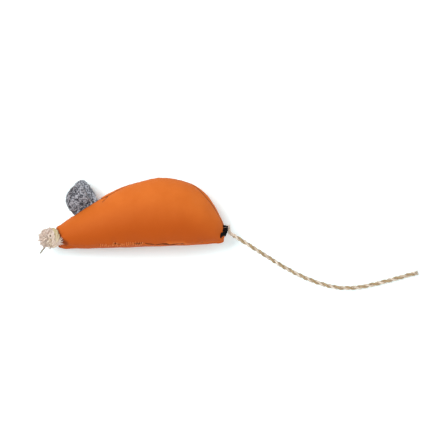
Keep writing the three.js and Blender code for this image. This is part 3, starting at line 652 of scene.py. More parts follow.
def cloth_material(looks):
    """Close-woven polyester cotton, dyed orange and pulled tight over the filling.

    The eye gets a smooth matt cloth with a soft sheen, faint uneven dye and, close by, a plain weave.
    The weave's threads lie 0.45 mm apart, and the dye is uneven over about 12 mm. Towards the base the
    colour is painted deeper, which stands in for shade; this zone is lower at the head and the rump.
    Behind the nose the painted shade eases beside the seams, which is painted light. In the seams, in
    the crease by the ears and under the knot it is darkest, which is painted shade too.
    """
    material = new_material("orange_poly_cotton")
    place = add_node(material, "ShaderNodeTexCoord", {})
    place = add_node(material, "ShaderNodeSeparateXYZ", {0: place.outputs["Object"]})
    along, up = place.outputs["X"], place.outputs["Y"]
    head, shade_eased_from, shade_eased_to, middle, rump, end = (
        to_part((x, 0, 0))[0] * MM for x in (
            HEAD_X, SHADE_EASED_FROM, SHADE_EASED_TO, MIDDLE_X, RUMP_X, BODY_LENGTH))
    # Painted shade: the colour darkens towards the base, its zone dropping lower at the head and the rump
    at_head = ranged(material, along, head, middle, SHADE_DROP_AT_HEAD * MM, 0.0)
    at_rump = ranged(material, along, rump, end, 0.0, SHADE_DROP_AT_RUMP * MM)
    raised = worked_out(material, "ADD", worked_out(material, "ADD", up, at_head), at_rump)
    low, high = (to_part((0, y, 0))[1] * MM for y in (looks.shade_from, looks.shade_to))
    lower = ranged(material, raised, low, high, 1.0, 0.0, "SMOOTHSTEP")
    # Painted shade in the seams and the crease by the ears, and a painted shadow under the knot
    seam = attribute(material, "seam")
    in_seam, beside_seam = (0.1 * MM, 1.05 * MM), (1.2 * MM, 4.0 * MM)
    crease = ranged(material, seam, *in_seam, 1.0, 0.0, "SMOOTHSTEP")
    # Painted light: behind the nose the painted shade eases beside the seams, down to 0.45 of its depth
    shade_eased = ranged(material, along, shade_eased_from, shade_eased_to, 1.0, 0.45)
    inside = ranged(material, seam, *beside_seam, shade_eased, 1.0, "SMOOTHSTEP")
    uneven = object_noise(material, size=12, detail=3.0, roughness=0.55)
    uneven = ranged(material, uneven, 0.3, 0.7)
    colour = mixed(material, uneven, looks.cloth_uneven, looks.cloth_colour)
    # The painted shade towards the base, eased beside the seams
    deep = worked_out(material, "MULTIPLY", lower, inside)
    colour = mixed(material, deep, colour, looks.cloth_shaded)
    # Painted shade: the darkest tone where the seam marks are small
    colour = mixed(material, crease, colour, looks.cloth_crease_shade)
    lay = add_node(material, "ShaderNodeUVMap", {}, uv_map="Lay")
    phase = add_node(material, "ShaderNodeVectorMath", {
        0: lay.outputs[0], 1: (2 * math.pi / (looks.weave * MM),) * 3}, operation="MULTIPLY")
    phase = add_node(material, "ShaderNodeSeparateXYZ", {0: phase.outputs[0]})
    warp, weft = (worked_out(material, "SINE", phase.outputs[axis]) for axis in (0, 1))
    woven = worked_out(material, "MULTIPLY", warp, weft)
    relief = bumped(material, woven, strength=0.25, depth=0.05)
    return finish_material(material, surface(
        material, colour, relief, roughness=0.7, specular=0.2, sheen=0.05, fuzz=0.4,
        IOR=1.45, **{"Sheen Tint": linear("#ffc9a0")}))


def felt_material(looks):
    """Needled wool felt of mixed grey fibres.

    The eye gets a matt, fuzzy surface, speckled light and dark where fibres of either kind gather:
    specks of 0.9 mm over patches of 2.6 mm, and a painted highlight along the cut edge.
    """
    material = new_material("grey_melange_felt")
    patches = object_noise(material, size=2.6, detail=1.0)
    specks = object_noise(material, size=0.9, detail=1.5, roughness=0.6, distortion=0.5)
    both = worked_out(material, "MULTIPLY_ADD", patches, 0.45, specks)
    dark_ends, light_starts = (0.62, 0.69), (0.74, 0.81)
    colour = mixed(
        material, ranged(material, both, *dark_ends), looks.felt_dark, looks.felt_colour)
    colour = mixed(material, ranged(material, both, *light_starts), colour, looks.felt_light)
    # Painted highlight: the cut edge is lightened towards a pale grey
    edge = worked_out(material, "MULTIPLY", attribute(material, "edge_highlight"), 0.85)
    colour = mixed(material, edge, colour, looks.felt_edge_highlight)
    relief = bumped(material, both, strength=0.5, depth=0.25)
    return finish_material(material, surface(
        material, colour, relief, roughness=0.95, specular=0.2, sheen=0.2, IOR=1.45))


def strand_material(name, pale, deep, roughness, sheen, streak, specular=0.25, tint=None,
                    through=0.0):
    """Fibres that lie along a strand, which the eye sees as streaks of two tones.

    Streak gives their length in millimetres and their width in turns. With a tint, strands whose
    mark is near 1 take it on. Through is the share of light that fine fibres let through, so that
    a loose ball of them stays light inside.
    """
    material = new_material(name)
    lay = add_node(material, "ShaderNodeUVMap", {}, uv_map="Lay")
    mark = attribute(material, "mark")
    streaks = add_node(material, "ShaderNodeMapping", {
        "Vector": lay.outputs[0], "Scale": (1 / (streak[0] * MM), 1 / streak[1], 1.0)})
    moved = add_node(material, "ShaderNodeVectorMath", {
        0: STREAK_SHIFT, 1: mark, 2: streaks.outputs[0]}, operation="MULTIPLY_ADD")
    noise = add_node(material, "ShaderNodeTexNoise", {
        "Vector": moved.outputs[0], "Scale": 1.0, "Detail": 3.0}).outputs["Fac"]
    colour = mixed(material, ranged(material, noise, 0.33, 0.67), deep, pale)
    if tint is not None:
        colour = mixed(material, mark, colour, tint, blend_type="MULTIPLY")
    relief = bumped(material, noise, strength=0.4, depth=0.12)
    shader = surface(material, colour, relief, roughness, specular, sheen, fuzz=0.4)
    if through > 0:
        light = add_node(material, "ShaderNodeBsdfTranslucent", {"Color": colour})
        shader = add_node(material, "ShaderNodeMixShader", {
            0: through, 1: shader.outputs[0], 2: light.outputs[0]})
    return finish_material(material, shader)


def loose_material(name, pale, deep, grain):
    """Loose filling or herb: uneven patches of two tones, grain millimetres wide."""
    material = new_material(name)
    noise = object_noise(material, size=grain, detail=4.0, roughness=0.65)
    colour = mixed(material, noise, deep, pale)
    relief = bumped(material, noise, strength=0.8, depth=grain / 2)
    return finish_material(material, surface(
        material, colour, relief, roughness=0.95, specular=0.15))


def floor_material(looks):
    """Matt white sheet, overexposed as in a catalogue picture where the camera sees it."""
    material = new_material("white_backdrop_paper")
    path = add_node(material, "ShaderNodeLightPath", {})
    seen = worked_out(
        material, "MAXIMUM", path.outputs["Is Camera Ray"], path.outputs["Is Glossy Ray"])
    bright = (*(looks.floor_gain * part for part in looks.floor_seen[:3]), 1.0)
    colour = mixed(material, seen, tuple(looks.floor_colour), bright)
    return finish_material(material, add_node(material, "ShaderNodeBsdfDiffuse", {"Color": colour}))


# Settings that a user would change

class MouseLooks(bpy.types.PropertyGroup):
    """Sizes and colours of the mouse's cloth, felt, rope and threads."""

    seam_depth: amount(
        "Seam depth", "How far the cloth sinks in along its seams, in millimetres", 0.9, 0, 2)
    pucker: amount("Pucker", "Height of the small folds along the base seams, in millimetres", 0.2, 0, 1)
    lumps: amount("Lumps", "How uneven the filling makes the cloth, in millimetres", 0.22, 0, 1)
    weave: amount("Weave", "Distance between the cloth's threads, in millimetres", 0.45, 0.2, 2)
    felt_fibres: IntProperty(
        name="Felt fibres", description="Loose fibres on each ear", default=2600, min=0, max=6000)
    nose_fibres: IntProperty(
        name="Nose fibres", description="Loose fibres on the frayed nose",
        default=900, min=100, max=5000)
    twine_pitch: amount(
        "Twine pitch", "Length of one turn of the twine's plies, in millimetres", 8, 3, 20)
    # Painted shade: heights over the base between which the cloth's colour darkens
    shade_from: amount(
        "Deep tone from", "Height over the base up to which the cloth is deepest, in millimetres",
        7, 0, 40)
    shade_to: amount(
        "Deep tone to", "Height over the base at which the deeper tone ends, in millimetres", 34, 0, 45)
    cloth_colour: colour_property("Cloth", "Dyed cloth", "#d26d24")
    cloth_uneven: colour_property("Cloth, uneven", "Where the dye took more", "#cb661d")
    # Painted shade: the cloth's colour towards the base, also the seam thread's deeper streaks
    cloth_shaded: colour_property("Cloth, deep", "Cloth towards the base", "#af4c05")
    # Painted shade: the cloth's colour in the seams, the crease by the ears and under the knot
    cloth_crease_shade: colour_property("Cloth in seams", "Cloth that is folded into a seam", "#622809")
    felt_colour: colour_property("Felt", "Mid tone of the felt", "#6e7179")
    felt_dark: colour_property("Felt, dark", "Dark fibres of the felt", "#2a2b30")
    felt_light: colour_property("Felt, light", "Light fibres of the felt", "#b4b7bf")
    # Painted highlight of the felt's cut edge
    felt_edge_highlight: colour_property("Felt, cut edge", "Cut edge of the felt", "#d2d8df")
    rope_pale: colour_property("Rope", "Pale cotton of the nose", "#fbeee5")
    rope_deep: colour_property("Rope, deeper", "Deeper tone of the nose", "#dbc3b5")
    rope_tint: colour_property("Rope, tint", "Tone of the wrapped turn over the rope's own", "#dbdaae")
    # The long strand's darker grey brown tones
    stray_pale: colour_property("Stray", "Long soiled strand of the nose", "#a59c8f")
    stray_deep: colour_property("Stray, deeper", "Deeper tone of the long strand", "#847b6e")
    twine_pale: colour_property("Twine", "Pale fibres of the tail", "#f0e3d3")
    twine_deep: colour_property("Twine, deeper", "Dark fibres of the tail", "#b5a287")
    twine_tint: colour_property("Twine, tint", "Tone of the darker ply over the twine's own", "#ccbd9f")
    thread_black: colour_property("Tail thread", "Thread that sews the tail on", "#070708")
    thread_orange: colour_property("Seam thread", "Thread of the seams", "#e38f4e")


class MouseStage(bpy.types.PropertyGroup):
    """Floor, lights and camera."""

    floor_colour: colour_property("Floor", "Backdrop paper as it lights the mouse", "#eeeef0")
    floor_seen: colour_property("Floor seen", "Tone of the paper where the camera sees it", "#edfbfd")
    floor_gain: amount(
        "Floor gain", "How much brighter than its own tone the camera sees the paper", 1.28, 1, 4)
    sky: amount("Fill", "Strength of the even light", 0.92, 0, 3)
    key: amount("Key", "Strength of the main light in watts", 6.9, 0, 100)
    front: amount("Front", "Strength of the low light in front in watts", 2.4, 0, 100)
    camera_height: amount(
        "Camera height", "Height of the camera over the middle plane, in millimetres",
        CAMERA_DISTANCE, 300, 5000)


# Operators

class MOUSE_OT_stage(bpy.types.Operator):
    """White floor, a soft light from the upper left, even fill and the camera straight above."""

    bl_idname = "catnip_mouse.stage"
    bl_label = "Stage"

    def execute(self, context):
        looks = context.scene.mouse_stage
        scene = context.scene
        scene.view_settings.view_transform = "Standard"
        self.camera(scene, looks)
        self.floor(scene, looks)
        self.lights(scene, looks)
        return {"FINISHED"}

    def camera(self, scene, looks):
        """Looks straight down; its lens makes the photograph's width fill it at the middle plane."""
        camera = bpy.data.objects.new("camera", bpy.data.cameras.new("camera"))
        scene.collection.objects.link(camera)
        camera.data.sensor_width = SENSOR_WIDTH
        camera.data.lens = SENSOR_WIDTH * looks.camera_height / PHOTO_WIDTH
        camera.data.clip_start, camera.data.clip_end = 0.01, 20
        camera.location = (
            PHOTO_CENTRE[0] * MM, PHOTO_CENTRE[1] * MM, (looks.camera_height + REST_HEIGHT) * MM)
        camera.rotation_euler = (0, 0, -math.radians(PHOTO_ROLL))
        scene.camera = camera

    def floor(self, scene, looks):
        """A round sheet far larger than the view."""
        angle = 2 * np.pi * np.arange(FLOOR_SIDES) / FLOOR_SIDES
        edge = FLOOR_RADIUS * np.stack([np.cos(angle), np.sin(angle), 0 * angle], -1)
        mesh = bpy.data.meshes.new("floor")
        mesh.from_pydata(edge.tolist(), [], [tuple(range(FLOOR_SIDES))])
        mesh.materials.append(floor_material(looks))
        floor = bpy.data.objects.new("floor", mesh)
        scene.collection.objects.link(floor)

    def lights(self, scene, looks):
        """A key light, a low wide one in front and an even world, white where the camera sees it."""
        powers = {"key": looks.key, "front": looks.front}
        for name, (place, size) in LIGHTS.items():
            data = bpy.data.lights.new(name, "AREA")
            data.shape, data.size, data.size_y, data.energy = "RECTANGLE", *size, powers[name]
            light = bpy.data.objects.new(name, data)
            light.location = place
            light.rotation_euler = (-Vector(place)).to_track_quat("-Z", "Y").to_euler()
            scene.collection.objects.link(light)
        world = bpy.data.worlds.new("studio")
        world.use_nodes = True
        world.node_tree.nodes.clear()
        path = add_node(world, "ShaderNodeLightPath", {})
        seen = worked_out(
            world, "MAXIMUM", path.outputs["Is Camera Ray"], path.outputs["Is Transmission Ray"])
        strength = ranged(world, seen, 0.0, 1.0, looks.sky, 1.0)
        sky = add_node(world, "ShaderNodeBackground", {"Strength": strength})
        add_node(world, "ShaderNodeOutputWorld", {"Surface": sky.outputs[0]})
        scene.world = world


class MOUSE_OT_tail(bpy.types.Operator):
    """Tail: two plies of natural twine wound round each other along the photographed curve."""

    bl_idname = "catnip_mouse.tail"
    bl_label = "Tail"

    def execute(self, context):
        looks = context.scene.mouse_looks
        route = np.array(TAIL_ROUTE, float) - (0, 0, REST_HEIGHT - TWINE_FLUFF)
        line = even_line(route, TAIL_STEPS)
        length = way_across(line[None])[0, -1]
        ply = TWINE_DIAMETER / 4 + TWINE_FLUFF / 2

        def yarns(along, angle):
            """Five yarns that show as ridges on a ply, a cosine that turns once in 2.6 mm."""
            return 1 + 0.07 * np.cos(5 * angle - 2 * np.pi * along * length / 2.6)

        # Jute: matt straw-coloured streaks along the plies, one ply a little darker than the other
        material = strand_material(
            "jute_twine", looks.twine_pale, looks.twine_deep, roughness=0.85, sheen=0.1,
            streak=(2.2, 0.16), tint=looks.twine_tint)
        form = Form()
        plies = twisted(line, UP, ply, 2, length / looks.twine_pitch)
        form.add_tubes(plies, ply + 0.04, 14, UP, ridges=yarns, marks=[0.1, 1.0])
        form.add_tubes(*loose_fibres(line, 1100, seed=71), 3)
        form.add_tubes(*frayed_end(line, 150, reach=2.9, seed=72), 3)
        tail = form.piece("tail_twine", material, "body", ["tail_cord"], "twine")
        return {"FINISHED"}


class MOUSE_OT_cloth(bpy.types.Operator):
    """Two flanks and the base panel: skins that sink into their seams, pucker and turn inwards."""

    bl_idname = "catnip_mouse.cloth"
    bl_label = "Cloth"

    def execute(self, context):
        looks = context.scene.mouse_looks
        material = cloth_material(looks)
        for side, name in ((1, "left_flank"), (-1, "right_flank")):
            piece = self.flank(looks, side).piece(
                name + "_cloth", material, "body", [name], "orange_cloth", mark="seam")
            self.thicken(piece)
        piece = self.base(looks).piece(
            "base_cloth", material, "body", ["base_panel"], "orange_cloth", mark="seam")
        self.thicken(piece)
        return {"FINISHED"}

    def thicken(self, piece):
        """Gives a skin the thickness of the cloth, outwards from the pattern's faces."""
        wall = piece.modifiers.new("thickness", "SOLIDIFY")
        wall.thickness, wall.offset = CLOTH_THICKNESS * MM, 1

    def seam_height(self, at, side):
        """Height over the middle plane at which a flank ends at the back.

        The two ends part round the felt of the ears. Elsewhere it is a small share of the half
        thickness, and more behind the ears and along the rump, where the body has rolled a little.
        """
        felt = bump(outline(at)[:, 0], *AT_EARS)
        roll = 0.05 + 0.24 * bump(at, *ROLLED_AT_RUMP) + 0.19 * bump(at, *ROLLED_BEHIND_EARS)
        return side * 1.3 * felt + sections(at)[2] * roll * (1 - felt)

    def flank(self, looks, side):
        """Skin from the back seam to the base seam.

        The cloth sinks by exponentials of the distance from each seam. Its folds fade away from
        the seams in the same way, the lumps of the filling grow away from the back seam, and both
        are uneven waves. A bell pushes the cloth's edge forward over the knot of the nose.
        """
        at = np.linspace(0, 1, BODY_COLUMNS)
        start = turn_of_height(self.seam_height(at, side), sections(at)[2])[:, None]
        points = skin(at, start + (2 * side - start) * ends_close(FLANK_ROWS))
        normals = grid_normals(points) * -side
        from_back = way_across(points)
        from_base = way_across(points[:, ::-1])[:, ::-1]
        x, y = points[..., 0], points[..., 1]
        slack = 0.75 + 0.9 * bump(x, *SEAM_OPEN) + 0.3 * bump(x, *SEAM_STITCHED)
        sink = fading(from_back, 0.75) * (0.75 + 0.25 * wavy(x[..., None], 9, seed=11))
        sink = looks.seam_depth * (sink + slack * fading(from_base, 0.6))
        more = 1 + 0.5 * bump(x, *FOLDS_AT_STITCHES) + 0.6 * bump(x, *FOLDS_AT_OPENING)
        fold = looks.pucker * more * fading(from_base, 3) * wavy(together(x, 0.25 * y), 4.2, seed=12)
        fold = fold + 0.07 * fading(from_back, 2.5) * wavy((x + 0.2 * y)[..., None], 4, seed=13)
        lumps = wavy(points * (0.55, 1, 1), 17, seed=14) * (1 - fading(from_back, 6))
        lumps = lumps + 0.3 * wavy(points, 7, seed=15) * (1 - fading(from_back, 4))
        crease = self.crease(x, y) * (points[..., 2] > 0)
        out = fold + looks.lumps * lumps - sink - crease - self.gather(x, y)
        points = points + out[..., None] * normals
        points = points + 1.3 * bell(x, y, *COLLAR)[..., None] * COLLAR_WAY
        points[..., 2] = np.maximum(points[..., 2], CLOTH_THICKNESS + 0.01 - REST_HEIGHT)
        if side > 0:
            points = points - (self.drop(x) * fading(from_base, 3.5))[..., None] * (0, 1, 0)
        # These marks carry the painted shade of the seams, the crease and the knot
        seam = self.seam_shade_marks(x, y, from_back, from_base, crease)
        return self.skin_form(self.turned_in(points, side), seam, side > 0)

    def gather(self, x, y):
        """How far the cloth is drawn in round the nose: a bell with nine rays, a sine of the angle."""
        rays = np.arctan2(y - GATHER_RAYS_FROM[1], x - GATHER_RAYS_FROM[0])
        return 1.1 * bell(x, y, *GATHER) * (1 + 0.35 * np.sin(9 * rays))

    def crease(self, x, y):
        """Depth of a short crease beside the ears, where the allowance pulls at the cloth.

        It falls as a bell of 0.5 mm across its line.
        """
        return 0.7 * np.exp(-((from_line(x, y, *EAR_CREASE) / 0.5) ** 2))

    def closeness(self, x):
        """How tightly the base seams are drawn together, for their painted shade: 1 where they stand
        open, so the shade is widest there, more elsewhere.
        """
        return 1 + 2.6 * (1 - bump(x, *DARK_GAP))

    def drop(self, x):
        """How far the left base seam has rolled down where it stands open: a bump along the body."""
        return 1.25 * bump(x, *ROLLED_DOWN)

    def seam_shade_marks(self, x, y, from_back, from_base, crease):
        """Distance from a seam that the cloth's painted shade follows, in millimetres.

        It is the least of four: the distances from the two seams, one shorter at the felt and one
        longer where the seam is tight, a value that falls in the crease, which paints shade into it, and
        one that grows by a cubic with the distance from two lines round the knot, which paint a shadow
        on the cloth there.
        """
        back = from_back * (1 - 0.65 * bump(x, *AT_EARS))
        in_crease = np.where(crease > 0.01, 1.6 - 1.9 * crease, 9.0)
        nose = np.minimum(*(from_line(x, y, *line) for line in NOSE_SHADES))
        nose = 0.3 + 0.23 * nose + 0.015 * nose**3
        return np.minimum.reduce([back, from_base * self.closeness(x), in_crease, nose])

    def turned_in(self, points, side):
        """The skin with a narrow allowance turned in at both seams."""
        inward = unit(points[:, INWARD_ROW] - points[:, 0]) * (1, 1, 0.1)
        back = points[:, 0] + 1.4 * inward + (0, 0, 0.25 * side)
        base = points[:, -1] + (0, 1, -side)
        return np.concatenate([back[:, None], points, base[:, None]], axis=1)

    def skin_form(self, points, seam, flip):
        """Form of a skin that carries its places on the flat cloth and its distances from a seam.

        A place is the way along the body and the way across the panel, in metres. Flip turns the
        rows round where the faces would look inwards.
        """
        lay = together(points[..., 0], way_across(points)) * MM
        marks = np.pad(seam, ((0, 0), (1, 1)), mode="edge") * MM
        if flip:
            points, lay, marks = points[:, ::-1], lay[:, ::-1], marks[:, ::-1]
        form = Form()
        form.add_grid(points, lay, marks=marks.reshape(-1))
        return form

    def base(self, looks):
        """Skin of the base panel between its two seams; it sinks and folds as the flanks do."""
        at = np.linspace(0, 1, BODY_COLUMNS)
        points = base_skin(at, 1 - 2 * ends_close(BASE_ROWS)[None, :])
        from_left = way_across(points)
        seam = np.minimum(from_left, way_across(points[:, ::-1])[:, ::-1])
        x = points[..., 0]
        more = 0.8 * (1 + 0.8 * bump(x, *FOLDS_AT_STITCHES))
        fold = looks.pucker * more * fading(seam, 2.5) * wavy(points * (1, 1, 0.3), 4.4, seed=21)
        lumps = 0.1 * wavy(points, 14, seed=22) * (1 - fading(seam, 3))
        sink = 0.8 * looks.seam_depth * fading(seam, 0.6)
        down = fold + lumps - sink + self.drop(x) * fading(from_left, 2)
        points = points - down[..., None] * (0, 1, 0)
        left = points[:, :1] + (0, 1.2, -0.8)
        right = points[:, -1:] + (0, 1.2, 0.8)
        points = np.concatenate([left, points, right], axis=1)
        return self.skin_form(points, seam * self.closeness(x), True)


class MOUSE_OT_filling(bpy.types.Operator):
    """Finishes of what is inside: fibre filling, herb and the threads of the machine seams."""

    bl_idname = "catnip_mouse.filling"
    bl_label = "Filling and inner threads"

    def execute(self, context):
        looks = context.scene.mouse_looks
        # Polyester fibre: soft and nearly white. Catnip: crumbled leaves in two dull greens
        filling = loose_material(
            "polyester_fibre_fill", linear("#f5f3ee"), linear("#dcd8cf"), grain=4)
        herb = loose_material("dried_catnip", linear("#8c8f58"), linear("#5a5c34"), grain=2)
        # Sewing thread of the seams: the cloth's orange, paler, with a slight gloss
        thread = strand_material(
            "orange_seam_thread", looks.thread_orange, looks.cloth_shaded, roughness=0.5, sheen=0.2,
            streak=(1.5, 0.3))
        finishes = {
            "stuffing": filling, "catnip_herb": herb, "back_thread": thread,
            "left_base_thread_front": thread, "left_base_thread_rear": thread,
            "right_base_thread": thread}
        for name, material in finishes.items():
            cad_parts[name].data.materials.clear()
            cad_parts[name].data.materials.append(material)
        return {"FINISHED"}


class MOUSE_OT_ears(bpy.types.Operator):
    """Two felt ears whose roots are caught in the back seam; each is cupped."""

    bl_idname = "catnip_mouse.ears"
    bl_label = "Ears"

    def execute(self, context):
        looks = context.scene.mouse_looks
        material = felt_material(looks)
        left = ear_root(EAR_START)
        right = ear_root(EAR_START + EAR_STAGGER * left["along"][0])
        free = 1 - (1 - np.linspace(0, 1, FELT_ROWS)) ** 1.7
        share = np.concatenate([np.linspace(FELT_START, 0, 12)[:-1], free])[:, None]
        angle = 2 * np.pi * np.arange(FELT_SIDES)[None, :] / FELT_SIDES
        for name, side, root in (("left", 1, left), ("right", -1, right)):
            points, edge_highlight = self.felt(root, side, name, share, angle)
            if side < 0:
                points, edge_highlight = points[:, ::-1], edge_highlight[:, ::-1]
            form = Form()
            # The marks carry the painted highlight of the cut edge
            form.add_grid(points, wrap=True, marks=edge_highlight.reshape(-1))
            lines, radii, tones = self.fibres(looks, root, side, name)
            form.add_tubes(lines, radii, 3, marks=tones)
            start, end = (
                to_part([*(root["middle"] + out * root["out"]), side * FELT_HEIGHT]) * MM
                for out in FOLD_ZONE)
            form.piece(f"{name}_ear_felt", material, ("body", f"{name}_ear_blade", start, end),
                       [f"{name}_ear", f"{name}_ear_tab"], "grey_felt", mark="edge_highlight")
        return {"FINISHED"}

    def felt(self, root, side, name, share, angle):
        """Skin of the felt, and the strength of the painted highlight on its cut edge at each point, from
        0 to 1.

        Share runs from inside the seam, below 0, to the tip, 1; angle runs round the felt's edge.
        The cut edge carries a painted highlight, strongest on its rear side and at the tip.
        The half width falls by a power near the tip, the tip leans along the root, the sides are
        lifted by the square of the way across, and the section is a box with rounded corners.
        """
        rise, seed = EAR_RISES[name], 31 + side
        free = np.clip(share, 0, 1)
        across = signed_power(np.cos(angle), 0.55)
        through = signed_power(np.sin(angle), 0.4)
        narrowing = np.maximum(1 - free ** EAR_TIP_POWERS[name], 0) ** EAR_ROUND_POWER
        half = EAR_WIDTHS[name] / 2 * narrowing * (1 + 0.5 * np.minimum(share, 0))
        to_full = np.minimum(free * EAR_HEIGHT / 3, 1)
        thick = FELT_AT_ROOT + (FELT_THICKNESS - FELT_AT_ROOT) * to_full
        reach = math.sqrt(EAR_HEIGHT**2 - rise**2) - EAR_SHORTENINGS[name]
        lift = rise * free + EAR_CUP * free**EAR_CUP_POWER * across**2
        along = EAR_SHIFTS[name] + EAR_SKEWS[name] * free**EAR_LEAN_POWER + across * half
        out = 0.9 + reach * share
        from_edge = np.minimum(half * (1 - np.abs(across)), EAR_HEIGHT * (1 - free))
        lit = EAR_EDGE_HIGHLIGHTS[name] * np.where(across > 0, 1.0, 0.2 + 0.8 * free**6)
        edge_highlight = lit * fading(from_edge, FELT_HIGHLIGHT_WIDTH * (1 + free**4))
        uneven = 0.10 * wavy(together(along, out, through), 2.2, seed)
        uneven = uneven + 0.12 * wavy(together(along, out), 6, seed + 1)
        height = FELT_HEIGHT + lift + through * thick / 2 + uneven * free**0.5
        edge = 0.18 * wavy(together(along, out), 2.6, seed + 2) * free
        along = along + edge * signed_power(across, 6)
        along, out, height, edge_highlight = np.broadcast_arrays(along, out, height, edge_highlight)
        place = root["middle"] + along[..., None] * root["along"] + out[..., None] * root["out"]
        return np.concatenate([place, side * height[..., None]], -1), edge_highlight

    def fibres(self, looks, root, side, name):
        """Loose fibres on the felt: short arcs that lean over at random, most at the cut edge."""
        rng = np.random.default_rng(41 + side)
        count, step = looks.felt_fibres, 0.01
        share = rng.uniform(0.1, 0.999, count) ** 0.8
        angle = np.pi * rng.integers(0, 2, count) + np.pi / 2 * rng.uniform(-1, 1, count) ** 3
        here, up, on = (
            self.felt(root, side, name, share + a * step, angle + b * step)[0]
            for a, b in ((0, 0), (-1, 0), (0, 1)))
        normal = unit(np.cross(up - here, on - here)) * -side
        lean = unit(rng.normal(size=(count, 3)))
        length = drawn(rng, 0.4, 1.1, count)
        t = along_fibres(4)
        way = unit(0.45 * normal + lean)
        lines = here[:, None] - 0.05 * normal[:, None] + length * t * way[:, None]
        lines = lines + length * 0.5 * t * (1 - t) * normal[:, None]
        return lines, thinning(0.045, 1.15, t), rng.uniform(0, 0.7, count)


